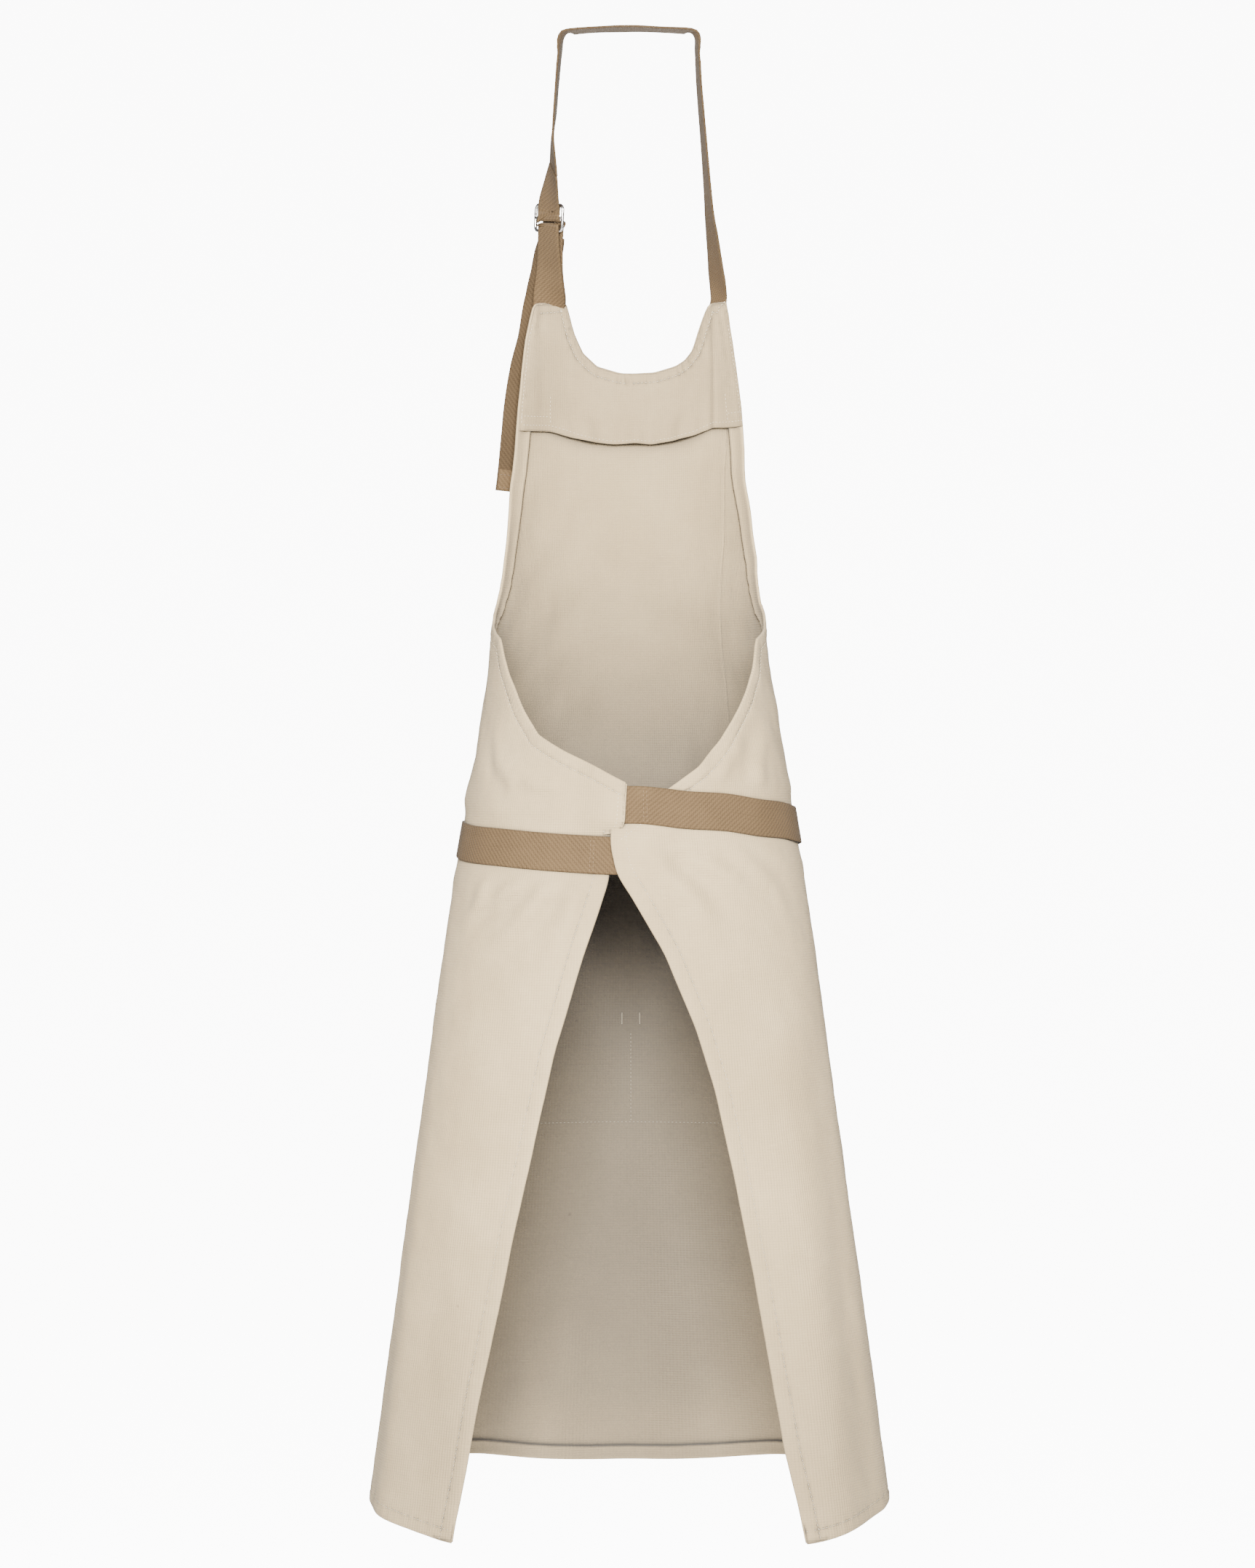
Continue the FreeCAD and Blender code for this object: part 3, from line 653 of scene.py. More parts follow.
def canvas_material(name, colour, shade):
    """Natural cotton canvas: plain weave, uneven yarns, soft mottling and a few dark flecks."""
    graph = Graph(name)
    weave_place = graph.weave_place()
    place = graph.place()
    cloudy = graph.noise(place, 9.0, 4.0, 0.6)
    mottled = graph.noise(place, 42.0, 4.0, 0.65)
    weft = graph.noise(graph.scaled(weave_place, (60, 1500, 1)), 1.0, 3.0, 0.6)
    warp = graph.noise(graph.scaled(weave_place, (1500, 60, 1)), 1.0, 3.0, 0.6)
    slub = graph.noise(graph.scaled(weave_place, (140, 900, 1)), 1.0, 2.0, 0.5)
    dark = tuple(part * share for part, share in zip(colour, shade)) + (1,)
    base = graph.mix(graph.remap(cloudy, 0.36, 0.66), dark, tinted(colour, 1.07))
    base = graph.mix(graph.remap(mottled, 0.35, 0.75, 0.0, 0.45), base, dark)
    weft_share = graph.times(graph.remap(weft, 0.3, 0.7), 0.5)
    warp_share = graph.times(graph.remap(warp, 0.3, 0.7), 0.5)
    yarn = graph.plus(weft_share, warp_share)
    base = graph.mix(graph.remap(yarn, 0.25, 0.75, 0.0, 0.34), base, tinted(colour, 0.80))
    base = graph.mix(graph.remap(slub, 0.66, 0.74, 0.0, 0.55), base, tinted(colour, 1.16))
    cells = graph.node("ShaderNodeTexVoronoi", Scale=1.0, Randomness=1.0)
    graph.connect(graph.scaled(weave_place, (55, 40, 1)), cells.inputs["Vector"])
    near = graph.remap(cells.outputs["Distance"], 0.035, 0.075, 1.0, 0.0)
    few = graph.remap(graph.noise(place, 60.0, 2.0), 0.60, 0.66)
    base = graph.mix(graph.times(graph.times(near, few), 0.75), base, FLECK)
    base = graph.mix(graph.enclosed(), base, tinted(NEUTRAL, DEEP_SHADE))
    threads_across = graph.wave(weave_place, "X", 155.0, 0.6)
    threads_down = graph.wave(weave_place, "Y", 155.0, 0.6)
    relief_height = graph.plus(graph.plus(threads_across, threads_down), graph.times(yarn, 1.6))
    relief_height = graph.plus(relief_height, graph.times(slub, 0.9))
    fine = graph.bump(relief_height, 0.55, 0.00035)
    return graph.surface({
        "Base Color": base,
        "Normal": graph.bump(mottled, 0.35, 0.0016, fine),
        "Roughness": 0.92,
        "Specular IOR Level": 0.25,
        "Sheen Weight": 0.12,
        "Sheen Roughness": 0.5,
    })


def webbing_material(name, colour):
    """Tan cotton webbing: crosswise ribs, a fine twill, and darker selvedges."""
    graph = Graph(name)
    weave_place = graph.weave_place()
    ribs = graph.wave(weave_place, "X", 190.0, 0.5, 2.0)
    cords = graph.wave(weave_place, "Y", 230.0, 0.3, 2.0)
    twill = graph.wave(weave_place, "DIAGONAL", 150.0, 0.8)
    fuzz = graph.noise(graph.scaled(weave_place, (900, 900, 1)), 1.0, 4.0, 0.7)
    worn = graph.noise(graph.place(), 38.0, 3.0, 0.6)
    streak = graph.noise(graph.scaled(weave_place, (12, 1100, 1)), 1.0, 2.0, 0.5)
    dark = tinted(colour, 0.60)
    light = tinted(colour, 1.28)
    threads = graph.plus(graph.times(graph.times(ribs, cords), 0.6), graph.times(twill, 0.4))
    base = graph.mix(graph.remap(threads, 0.05, 0.75), dark, light)
    base = graph.mix(graph.remap(fuzz, 0.35, 0.7, 0.0, 0.5), base, tinted(colour))
    base = graph.mix(graph.remap(worn, 0.4, 0.75, 0.0, 0.35), base, light)
    base = graph.mix(graph.remap(streak, 0.58, 0.7, 0.0, 0.4), base, dark)
    off_centre = graph.calculate("ABSOLUTE", graph.axis(weave_place, "Y"))
    selvedge = graph.remap(off_centre, 0.0138, 0.0150, 0.0, 0.55)
    base = graph.mix(selvedge, base, tinted(colour, 0.45))
    height = graph.plus(threads, graph.times(fuzz, 0.5))
    return graph.surface({
        "Base Color": base,
        "Normal": graph.bump(height, 0.8, 0.0006),
        "Roughness": 0.86,
        "Specular IOR Level": 0.15,
        "Sheen Weight": 0.04,
        "Sheen Roughness": 0.45,
    })


def thread_material(name, colour):
    """Sewing thread, slightly uneven, shaded where the cloth round it is enclosed."""
    graph = Graph(name)
    uneven = graph.noise(graph.place(), 900.0, 2.0)
    base = graph.mix(uneven, tinted(colour, 0.8), tinted(colour))
    shade = graph.times(graph.enclosed(), THREAD_SHADE)
    base = graph.mix(shade, base, tinted(NEUTRAL, DEEP_SHADE))
    return graph.surface({"Base Color": base, "Roughness": 0.7})


def metal_material(name, colour):
    """Bright plated wire with faint drawing marks."""
    graph = Graph(name)
    marks = graph.noise(graph.place(), 420.0, 3.0, 0.6)
    return graph.surface({
        "Base Color": tinted(colour),
        "Metallic": 1.0,
        "Roughness": graph.remap(marks, 0.3, 0.7, 0.16, 0.34),
        "Normal": graph.bump(marks, 0.15, 0.0001),
    })


CANVAS = canvas_material("canvas", (0.50, 0.395, 0.235), (0.88, 0.865, 0.84))
# painted shade: the same canvas made darker, for the facing that lies in shade inside the bib
CANVAS_PAINTED_SHADE = canvas_material("canvas_lining", (0.415, 0.327, 0.197), (0.86, 0.845, 0.82))
WEBBING = webbing_material("webbing", (0.114, 0.075, 0.039))
# painted shade: the same webbing made darker, for the strap's spare end, which hangs in shade
WEBBING_PAINTED_SHADE = webbing_material("webbing_painted_shade", (0.072, 0.048, 0.026))
THREAD = thread_material("thread", (0.76, 0.66, 0.48))
BROWN_THREAD = thread_material("webbing_thread", (0.19, 0.125, 0.065))
METAL = metal_material("plated_wire", (0.78, 0.78, 0.77))

# ------------------------------------------------------------------ the cloth panels

COLUMN_STEP = 1.25          # degrees between columns of the front cloth
root_stitches = Stitches()
webbing_stitches = Stitches()


def top_edge_rows(side):
    """The free upper edge from the front centre out to this side's wing end."""
    return NECKLINE[side] + ARMHOLE + WING_TOP[side]


def top_hem_width(angle):
    """The upper edge's hem is narrow round the neckline and widest down the armholes."""
    reach = np.abs(angle)
    width = NECKLINE_HEM + (ARMHOLE_HEM - NECKLINE_HEM) * ease(reach, 38, 50)
    return width + (WING_HEM - ARMHOLE_HEM) * ease(reach, 68, 84)


def seam_drop(side, reach):
    """Height of the hidden joint between wing and flap, under the waist strap."""
    return 654 + (strap_centre(side, reach) - 650) * ease(reach, 70, FLAP_HINGE_ANGLE)


def top_drop(side, reach):
    """Height of the free upper edge."""
    return table(reach, top_edge_rows(side), 0.6)


def wing_end(side, drop):
    return table(drop, WING_END[side], 3)


def flap_edge(side, drop):
    return table(drop, FLAP_EDGE[side], 7)


def hem_drop(reach):
    return table(reach, HEM_DROP, 4)


UPPER_ROWS = 64             # mesh rows above the waist strap
LOWER_ROWS = 134            # and below it


def wing_columns(side):
    """Angles and drops of the upper cloth behind the hinge line, to the wing's free end."""
    columns = 66
    furthest = max(row[1] for row in WING_END[side])
    share = np.linspace(0, 1, columns)[:, None]
    down = np.linspace(0, 1, UPPER_ROWS + 1)[None, :]
    reach = FLAP_HINGE_ANGLE + share * (furthest - FLAP_HINGE_ANGLE)
    top = top_drop(side, reach)
    drop = top + (seam_drop(side, reach) - top) * down
    bend = FLAP_HINGE_ANGLE + share * (wing_end(side, drop) - FLAP_HINGE_ANGLE)
    return side * bend, drop


def front_columns(side):
    """Angles and drops from the front centre to the hinge line, bib to hem."""
    corners = [0, NECKLINE[side][-4][0], NECKLINE[side][-2][0], NECKLINE[side][-1][0], ARMHOLE[0][0],
               FLAP_HINGE_ANGLE]
    reach = []
    for start, end in zip(corners, corners[1:]):
        count = max(2, round((end - start) / COLUMN_STEP))
        reach.extend(np.linspace(start, end, count, endpoint=False))
    reach = np.array(reach + [FLAP_HINGE_ANGLE])[:, None]
    top = top_drop(side, reach)
    upper = np.linspace(0, 1, UPPER_ROWS + 1)[None, :]
    lower = np.linspace(0, 1, LOWER_ROWS + 1)[None, 1:]
    middle = seam_drop(side, reach)
    drop = np.concatenate([top + (middle - top) * upper, middle + (hem_drop(reach) - middle) * lower], axis=1)
    return side * (reach + 0 * drop), drop


def distance_to_edge(angle, drop, edge_angle, edge_drop):
    """Each sample's distance from an edge line, and the nearest edge point's number."""
    tree = numbered_tree(base_surface(edge_angle, edge_drop)[0])
    places = base_surface(angle, drop)[0].reshape(-1, 3)
    nearest = np.array([tree.find(place)[1:] for place in places])
    return nearest[:, 1], nearest[:, 0].astype(int)


def edge_pucker(points, angle, drop, edge_angle, edge_drop, hem, seed):
    """Adds the hem's small quilting to the panel itself."""
    along = lengths_along(cloth_surface(edge_angle, edge_drop))
    flat = points.reshape(-1, 3)
    facing = cloth_normal(angle, drop).reshape(-1, 3)
    distance, index = distance_to_edge(angle, drop, edge_angle, edge_drop)
    width = np.broadcast_to(hem, along.shape)[index]
    high = pucker(distance, along[index], width, seed) * (1 - ease(distance, width + 3, width + 10))
    return (flat + facing * high[:, None]).reshape(points.shape)


def make_body_cloth():
    """Bib, front, sides and wings as one cloth, with its edges turned under."""
    patch = Patch()
    for side, _ in SIDES:
        angle, drop = front_columns(side)
        wing_angle, wing_drop = wing_columns(side)
        edge_angle = np.concatenate([angle[:, 0], wing_angle[1:, 0]])
        edge_drop = np.concatenate([drop[:, 0], wing_drop[1:, 0]])
        bottom = (angle[:, -1], drop[:, -1])
        end = (wing_angle[-1], wing_drop[-1])
        hem = top_hem_width(edge_angle)
        points = edge_pucker(cloth_surface(angle, drop), angle, drop, edge_angle, edge_drop, hem, 11)
        points = edge_pucker(points, angle, drop, *bottom, BOTTOM_HEM, 12)
        patch.add_grid(points, angle, drop)
        wing = cloth_surface(wing_angle, wing_drop)
        wing = edge_pucker(wing, wing_angle, wing_drop, edge_angle, edge_drop, hem, 11)
        patch.add_grid(wing, wing_angle, wing_drop)
        hems = ((edge_angle, edge_drop, side, hem), (*bottom, -side, BOTTOM_HEM), (*end, side, WING_END_HEM))
        for seed, edge in enumerate(hems, 11):
            add_hem(patch, *edge, seed)
        for edge in hems:
            stitch_hem(root_stitches, *edge)
    cloth = patch.build("apron_cloth", CANVAS)
    for side, _ in SIDES:
        match_seam(cloth, *seam_line(side))
    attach(cloth, "apron")
    nodes = ["bib_panel", "skirt_front", "bottom_hem_front"]
    parts = ("side_panel_", "back_wing_", "wing_hem_", "armhole_hem_", "bottom_hem_")
    for _, name in SIDES:
        nodes += [part + name for part in parts]
    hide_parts(*nodes)


def seam_line(side):
    """Angles and drops along the joint of a flap with the rest of the cloth."""
    furthest = 186
    lowest = 1192
    drops = np.linspace(float(seam_drop(side, FLAP_HINGE_ANGLE)), lowest, 700)
    reach = np.linspace(FLAP_HINGE_ANGLE, furthest, 260)
    angles = np.concatenate([np.full_like(drops, FLAP_HINGE_ANGLE), reach])
    return side * angles, np.concatenate([drops, seam_drop(side, reach)])


def match_seam(thing, angle, drop):
    """Gives the cloth the same surface direction on both sides of a hidden joint."""
    normals = cloth_normal(angle, drop)
    tree = numbered_tree(cloth_surface(angle, drop) * MM)
    near = 0.9
    mesh = thing.data
    shading = [Vector(item.vector) for item in mesh.vertex_normals]
    for vertex in mesh.vertices:
        place, index, distance = tree.find(vertex.co)
        if distance < near * MM:
            outward = Vector(normals[index])
            shading[vertex.index] = outward if (vertex.co - place).dot(outward) > 0 else -outward
    mesh.normals_split_custom_set_from_vertices(shading)


def make_flap(side, name):
    """Lower back cloth, from the hinge line to the free edge that frames the opening."""
    columns = 46
    bottom_tip = 139 if side == LEFT else 139.5
    top_tip = 175
    down = np.linspace(0, 1, LOWER_ROWS + 1)[None, :]
    share = np.linspace(0, 1, columns)[:, None]
    low = hem_drop(FLAP_HINGE_ANGLE + share * (bottom_tip - FLAP_HINGE_ANGLE))
    top = seam_drop(side, FLAP_HINGE_ANGLE + share * (top_tip - FLAP_HINGE_ANGLE))
    drop = top + (low - top) * down
    angle = side * (FLAP_HINGE_ANGLE + share * (flap_edge(side, drop) - FLAP_HINGE_ANGLE))
    patch = Patch()
    edge = (angle[-1], drop[-1])
    bottom = (angle[:, -1], drop[:, -1])
    points = edge_pucker(cloth_surface(angle, drop), angle, drop, *edge, FLAP_HEM, 21)
    points = edge_pucker(points, angle, drop, *bottom, BOTTOM_HEM, 22)
    patch.add_grid(points, angle, drop)
    add_hem(patch, *edge, side, FLAP_HEM, 21)
    add_hem(patch, *bottom, -side, BOTTOM_HEM, 22)
    cloth = patch.build("back_flap_cloth_" + name, CANVAS)
    match_seam(cloth, *seam_line(side))
    stitches = Stitches()
    stitch_hem(stitches, *edge, side, FLAP_HEM)
    stitch_hem(stitches, *bottom, -side, BOTTOM_HEM)
    thread = stitches.build("flap_stitches_" + name, THREAD)
    for piece in (cloth, thread):
        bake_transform(piece)
    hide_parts("back_flap_" + name, "flap_edge_hem_" + name, "flap_bottom_hem_" + name)


FACING_BOTTOM = [(-56, 311), (-50, 311), (-35, 310), (-27.5, 314), (-16.6, 317.8), (-6.8, 319.6),
                 (2.9, 318.4), (9.6, 319.6), (19.7, 317), (28.5, 313), (37.4, 307), (45.7, 308), (56, 307)]
FACING_DROP = 310           # about the drop of that edge
FACING_HANG = 4.4           # how far it falls away from the bib


FACING_HALF_COLUMNS = 78
FACING_ROWS = 44


def facing_grid():
    """Angles and drops of the facing, which follows the neckline and widens down the armholes."""
    reaches = {}
    for side, _ in SIDES:
        corners = [*(row[0] for row in NECKLINE[side]), ARMHOLE[0][0]]
        places = np.linspace(0, 1, FACING_HALF_COLUMNS)
        reaches[side] = np.interp(places, np.linspace(0, 1, len(corners)), corners)
    column = np.concatenate([-reaches[LEFT][::-1], reaches[RIGHT][1:]])[:, None]
    down = np.linspace(0, 1, FACING_ROWS)[None, :]
    top = np.where(column < 0, top_drop(LEFT, np.abs(column)), top_drop(RIGHT, np.abs(column)))
    armhole = table(top + (FACING_DROP - top) * down, [(row[1], row[0]) for row in ARMHOLE], 3)
    spread = armhole / ARMHOLE[0][0]
    share = np.abs(column) / ARMHOLE[0][0]
    angle = column * (1 + (spread - 1) * ease(share, 0.55, 1.0))
    drop = top + (table(angle, FACING_BOTTOM, 1.5) - top) * down
    return angle, drop


def facing_depth(angle, drop):
    """How far the facing lies inside the bib: sewn close at its edges, hanging free at the bottom."""
    edge_angle = np.concatenate([angle[0, ::-1], angle[:, 0], angle[-1]])
    edge_drop = np.concatenate([drop[0, ::-1], drop[:, 0], drop[-1]])
    distance, index = distance_to_edge(angle, drop, edge_angle, edge_drop)
    distance = distance.reshape(angle.shape)
    along = lengths_along(cloth_surface(edge_angle, edge_drop))[index].reshape(angle.shape)
    quilt = 1.5 * pucker(distance, along, NECKLINE_HEM, 15) * (1 - ease(distance, 12, 20))
    gathers = bell(distance - 5, 4) * (0.25 + bell(angle - 12, 14))
    quilt = quilt + 0.8 * gathers * np.sin(2 * math.pi * along / 5.6 + 1.5 * np.sin(along / 13))
    # pressed folds where the strap ends are sewn in, one down each side
    pressed = 0.8 * bell(angle - 38.5, 1.3) - 0.8 * bell(angle - 35.5, 2.2)
    pressed = pressed + 0.7 * bell(angle + 43, 1.3) - 0.6 * bell(angle + 40, 2.0)
    free = ease(drop, 286, 312) * ease(37 - np.abs(angle + 0.5), 0, 15)
    waves = 1.0 + 0.22 * np.sin(angle / 3.1 + 1) + 0.16 * np.sin(angle / 1.7)
    layers = 1.3 + 1.0 * ease(distance, 0, 8)
    return layers * LAYER_STEP + FACING_HANG * free * waves + quilt + pressed


def stitch_facing(angle, drop, surface):
    """Lines along the facing's lower hem, its pressed folds and its armholes, and round the neckline."""
    inward = -cloth_normal(angle, drop)
    bottom, low_left, low_right = np.s_[6:-6, -3], np.s_[:14, -6], np.s_[-14:, -6]
    fold_left, fold_right = np.s_[13, -13:-3], np.s_[-14, -13:-3]
    armhole_left, armhole_right = np.s_[3, 6:-3], np.s_[-4, 6:-3]
    for line in (bottom, low_left, low_right, fold_left, fold_right, armhole_left, armhole_right):
        root_stitches.add_line(surface[line] + inward[line] * 0.25, inward[line], STITCH_HEIGHT)
    for side, columns in ((LEFT, slice(74, 4, -1)), (RIGHT, slice(80, -5))):
        neck = hem_line(angle[columns, 0], drop[columns, 0], side, NECKLINE_HEM)
        places = cloth_surface(*neck, -2.3 * LAYER_STEP - 0.2)
        root_stitches.add_line(places, -cloth_normal(*neck), STITCH_HEIGHT)


def make_facing():
    """Lining of the bib's top, sewn in at its edges. Its lower edge is loose and falls away."""
    angle, drop = facing_grid()
    surface = cloth_surface(angle, drop, -facing_depth(angle, drop))
    stitch_facing(angle, drop, surface)
    patch = Patch()
    patch.add_grid(surface, angle, drop)
    # the facing uses the canvas with painted shade, darker than the outer cloth
    facing = patch.build("bib_facing_cloth", CANVAS_PAINTED_SHADE, LINING_THICKNESS)
    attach(facing, "apron")
    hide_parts("bib_facing")


# ------------------------------------------------------------------ webbing


def spline(points, step):
    """Even samples of a smooth curve through the points (Catmull-Rom)."""
    points = np.asarray(points, float)
    padded = np.concatenate([[2 * points[0] - points[1]], points, [2 * points[-1] - points[-2]]])
    samples = []
    for index in range(len(points) - 1):
        a, b, c, d = padded[index:index + 4]
        count = max(2, int(np.linalg.norm(c[:3] - b[:3]) / step))
        for share in np.linspace(0, 1, count, endpoint=False):
            first = 2 * b + (c - a) * share
            second = (2 * a - 5 * b + 4 * c - d) * share ** 2
            third = (3 * b - a - 3 * c + d) * share ** 3
            samples.append((first + second + third) / 2)
    samples.append(points[-1])
    return np.array(samples)


def webbing_section(width, thickness):
    """Outline of the webbing's section as (across, out) points, flat with rounded edges."""
    half = width / 2
    radius = thickness / 2
    outline = []
    inner = half - radius
    for across in np.linspace(-inner, inner, 9):
        outline.append((across, radius))
    for degrees in (45, 0, -45):
        turn = math.radians(degrees)
        outline.append((inner + radius * math.cos(turn), radius * math.sin(turn)))
    for across in np.linspace(inner, -inner, 9):
        outline.append((across, -radius))
    for degrees in (-135, 180, 135):
        turn = math.radians(degrees)
        outline.append((-inner + radius * math.cos(turn), radius * math.sin(turn)))
    return np.array(outline)


def webbing(name, centres, acrosses, width=WEBBING_WIDTH, thickness=WEBBING_THICKNESS, start=0.0,
            surface=WEBBING):
    """A strip of webbing swept along its centres, with its width along the given directions."""
    along = unit(np.gradient(centres, axis=0))
    acrosses = unit(acrosses - along * np.sum(acrosses * along, axis=-1, keepdims=True))
    outs = np.cross(along, acrosses)
    widths = np.broadcast_to(width, (len(centres),))
    lengths = start + lengths_along(centres)
    vertices = []
    uvs = []
    for centre, across, out, length, wide in zip(centres, acrosses, outs, lengths, widths):
        for reach, high in webbing_section(wide, thickness):
            vertices.append(centre + across * reach + out * high)
            uvs.append((length * MM, reach * MM * WEBBING_WIDTH / wide))
    faces = swept_faces(len(centres), len(vertices) // len(centres))
    return new_object(name, vertices, faces, surface, uvs)


def add_cross_line(stitches, centre, across, along, reach=12.5):
    """A stitch line straight across webbing, on both of its faces."""
    across = unit(across)
    out = unit(np.cross(unit(along), across))
    ends = np.array([centre - across * reach, centre + across * reach])
    height = WEBBING_THICKNESS / 2 - 0.2
    for face in (1, -1):
        facing = np.array([out * face, out * face])
        stitches.add_line(ends + facing * height, facing, STITCH_HEIGHT)


def waist_strap_path(side):
    """Centre line and width directions of one waist strap, from under the far wing to the knot."""
    start = 177.5 if side == RIGHT else 170.5
    knot = 9
    reach = np.concatenate([[start + 8], np.linspace(start, knot, 150)])
    centre_drop = strap_centre(side, reach) + 0.5 * ripples(reach * 2.3, 0 * reach, 70, 31 + side)
    angle = side * reach
    stand = 1.1 if side == RIGHT else 0.0
    offsets = 1.55 + 0.15 * ripples(reach * 2.3, 0 * reach, 45, 33 + side)
    offsets = (offsets + stand * bell(reach - 92, 26) + 0.9 * ease(reach, 160, 176))[:, None]
    point, outward = base_surface(angle, centre_drop)
    upper, upper_outward = base_surface(angle, centre_drop - 12)
    lower, lower_outward = base_surface(angle, centre_drop + 12)
    across = (lower + lower_outward * offsets) - (upper + upper_outward * offsets)
    return point + outward * offsets, across


def make_waist_strap(side, name):
    """One crossed strap, with two rows of stitching where it is sewn to the wing's end."""
    centres, across = waist_strap_path(side)
    strap = webbing("waist_strap_webbing_" + name, centres, across)
    along = np.gradient(centres, axis=0)
    for row in (3, 4):
        add_cross_line(webbing_stitches, centres[row], across[row], along[row])
    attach(strap, "apron")
    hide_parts("waist_strap_" + name, "strap_bartack_" + name)


# Neck loop: (x, y, z) of the centre line, then the share of the width that shows from behind.
NECK_ROUTE = [
    ((73.0, 81.2, -228), 0.88),
    ((73.6, 81.0, -209), 0.86),
    ((74.9, 78.2, -199), 0.72),
    ((73.4, 70, -183), 0.42),
    ((68.8, 50, -148), 0.26),
    ((65.8, 35, -126), 0.165),
    ((61.2, 8, -80), 0.11),
    ((57.0, -18, -39), 0.09),
    ((55.4, -31, -16), 0.08),
    ((54.4, -38, -5), 0.02),
    ((51.0, -42.5, 0.8), -0.03),
    ((44.0, -44.5, 2.0), -0.045),
    ((26, -45, 2.8), -0.06),
    ((8, -45, 3.6), -0.045),
    ((-8, -45, 3.5), -0.035),
    ((-28, -45, 2.8), -0.055),
    ((-44.5, -44.5, 1.6), -0.045),
    ((-51.2, -42.5, 0.4), -0.03),
    ((-54.8, -38, -5), 0.02),
    ((-56.6, -31, -16), 0.05),
    ((-59.0, -18, -39), 0.035),
    ((-61.2, -3, -63), 0.02),
    ((-62.4, 6, -77), -0.07),
    ((-62.4, 20, -100), -0.20),
]


def route(rows, step=2.0):
    """Smooth centres, and whatever is given with them, from a few (place, values) rows."""
    samples = spline([[*place, *values] for place, values in rows], step)
    return samples[:, :3], samples[:, 3:]


def turned_route(rows, step=2.0):
    """Centres and width directions of webbing that shows a given share of its width from behind."""
    centres, share = route([(place, (share,)) for place, share in rows], step)
    along = unit(np.gradient(centres, axis=0))
    level = unit(np.stack([along[:, 2], 0 * along[:, 1], -along[:, 0]], axis=-1))
    deep = np.cross(along, level)
    return centres, level * share - deep * np.sqrt(1 - share ** 2)


def slider_axes():
    """The slider's directions across the webbing, up along it and out of its face."""
    up = unit(np.array([0.05, -0.12, 0.99]))
    across = np.array([-0.62, 0.78, 0.08])
    across = unit(across - up * np.dot(across, up))
    return across, up, np.cross(across, up)


SLIDER_HINGE = np.array([-65.3, 44.5, -147])
SLIDER_WIDTH = 36.6
SLIDER_HEIGHT = 21.4
SLIDER_SHIFT = 2.9          # the frame sits off centre on its webbing
GATHERED_WIDTH = 28         # of the webbing where it passes through the slider
SEWN_WIDTH = 17             # of the webbing where it is folded and sewn to the narrow bib corner
WIRE_RADIUS = 1.3
STRAP_UNDER_BAR = 8.4       # height above the lower bar where the strap passes through


def slider_point(across, up, out):
    directions = slider_axes()
    return SLIDER_HINGE + directions[0] * across + directions[1] * up + directions[2] * out


def make_neck_strap():
    """The loop round the neck, and its end, which runs down through the slider."""
    centres, acrosses = turned_route(NECK_ROUTE)
    sewn = ease(-centres[:, 2], 178, 204) * (centres[:, 0] > 0)
    width = WEBBING_WIDTH + (SEWN_WIDTH - WEBBING_WIDTH) * sewn
    strap = webbing("neck_strap_webbing", centres, acrosses, width=width)
    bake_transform(strap)
    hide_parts("neck_strap", "neck_anchor_right")
    rows = [(centres[-1], acrosses[-1])]
    for move, up, out in ((0, 19, -2.6), (0, 13, -2.5), (0, STRAP_UNDER_BAR + 1.4, -2.4),
                          (0, STRAP_UNDER_BAR + 0.2, -1.4), (0.3, STRAP_UNDER_BAR, 0.4),
                          (0.9, STRAP_UNDER_BAR - 0.4, 2.3), (1.6, STRAP_UNDER_BAR - 2.4, 3.7),
                          (2.6, 0, 4.4), (2.6, -5, 4.6)):
        rows.append((slider_point(move, up, out), -slider_axes()[0]))
    gather_start = -centres[-1][2]
    centres, acrosses = route(rows, 1.2)
    gathered = ease(-centres[:, 2], gather_start, -SLIDER_HINGE[2] - 30)
    width = WEBBING_WIDTH - (WEBBING_WIDTH - GATHERED_WIDTH) * gathered
    fold = webbing("strap_at_slider", centres, acrosses, width=width, start=560)
    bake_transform(fold)
    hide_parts("strap_fold")


def tube(name, centres, radius, material_used, sides=14, closed=False):
    """Round wire along its centres."""
    centres = np.asarray(centres, float)
    if closed:
        along = unit(np.roll(centres, -1, axis=0) - np.roll(centres, 1, axis=0))
    else:
        along = unit(np.gradient(centres, axis=0))
    normal = slider_axes()[2]
    vertices = []
    for centre, heading in zip(centres, along):
        side = unit(np.cross(heading, normal))
        for index in range(sides):
            turn = 2 * math.pi * index / sides
            vertices.append(centre + (side * math.cos(turn) + normal * math.sin(turn)) * radius)
    return new_object(name, vertices, swept_faces(len(centres), sides, closed=closed), material_used)


def make_slider():
    """Wire frame with rounded corners, and a bar across its middle."""
    radius = 4.0
    outline = []
    for right, top, first in [(1, 1, 0), (-1, 1, 90), (-1, -1, 180), (1, -1, 270)]:
        for degrees in np.linspace(first, first + 90, 8):
            turn = math.radians(degrees)
            across = SLIDER_SHIFT + right * (SLIDER_WIDTH / 2 - radius) + radius * math.cos(turn)
            up = SLIDER_HEIGHT / 2 + top * (SLIDER_HEIGHT / 2 - radius) + radius * math.sin(turn)
            outline.append(slider_point(across, up, 0))
    frame_wire = tube("slider_frame", outline, WIRE_RADIUS, METAL, closed=True)
    bar_points = [slider_point(SLIDER_SHIFT + across, SLIDER_HEIGHT / 2, 0)
                  for across in np.linspace(-SLIDER_WIDTH / 2, SLIDER_WIDTH / 2, 9)]
    bar = tube("slider_bar", bar_points, WIRE_RADIUS, METAL)
    for piece, node in ((frame_wire, "buckle_frame"), (bar, "buckle_bar")):
        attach(piece, "buckle")
        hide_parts(node)


TAB_TOP = 6.8               # how far the tab's loose loop reaches above the lower bar
TAB_WIDTH = 26.6


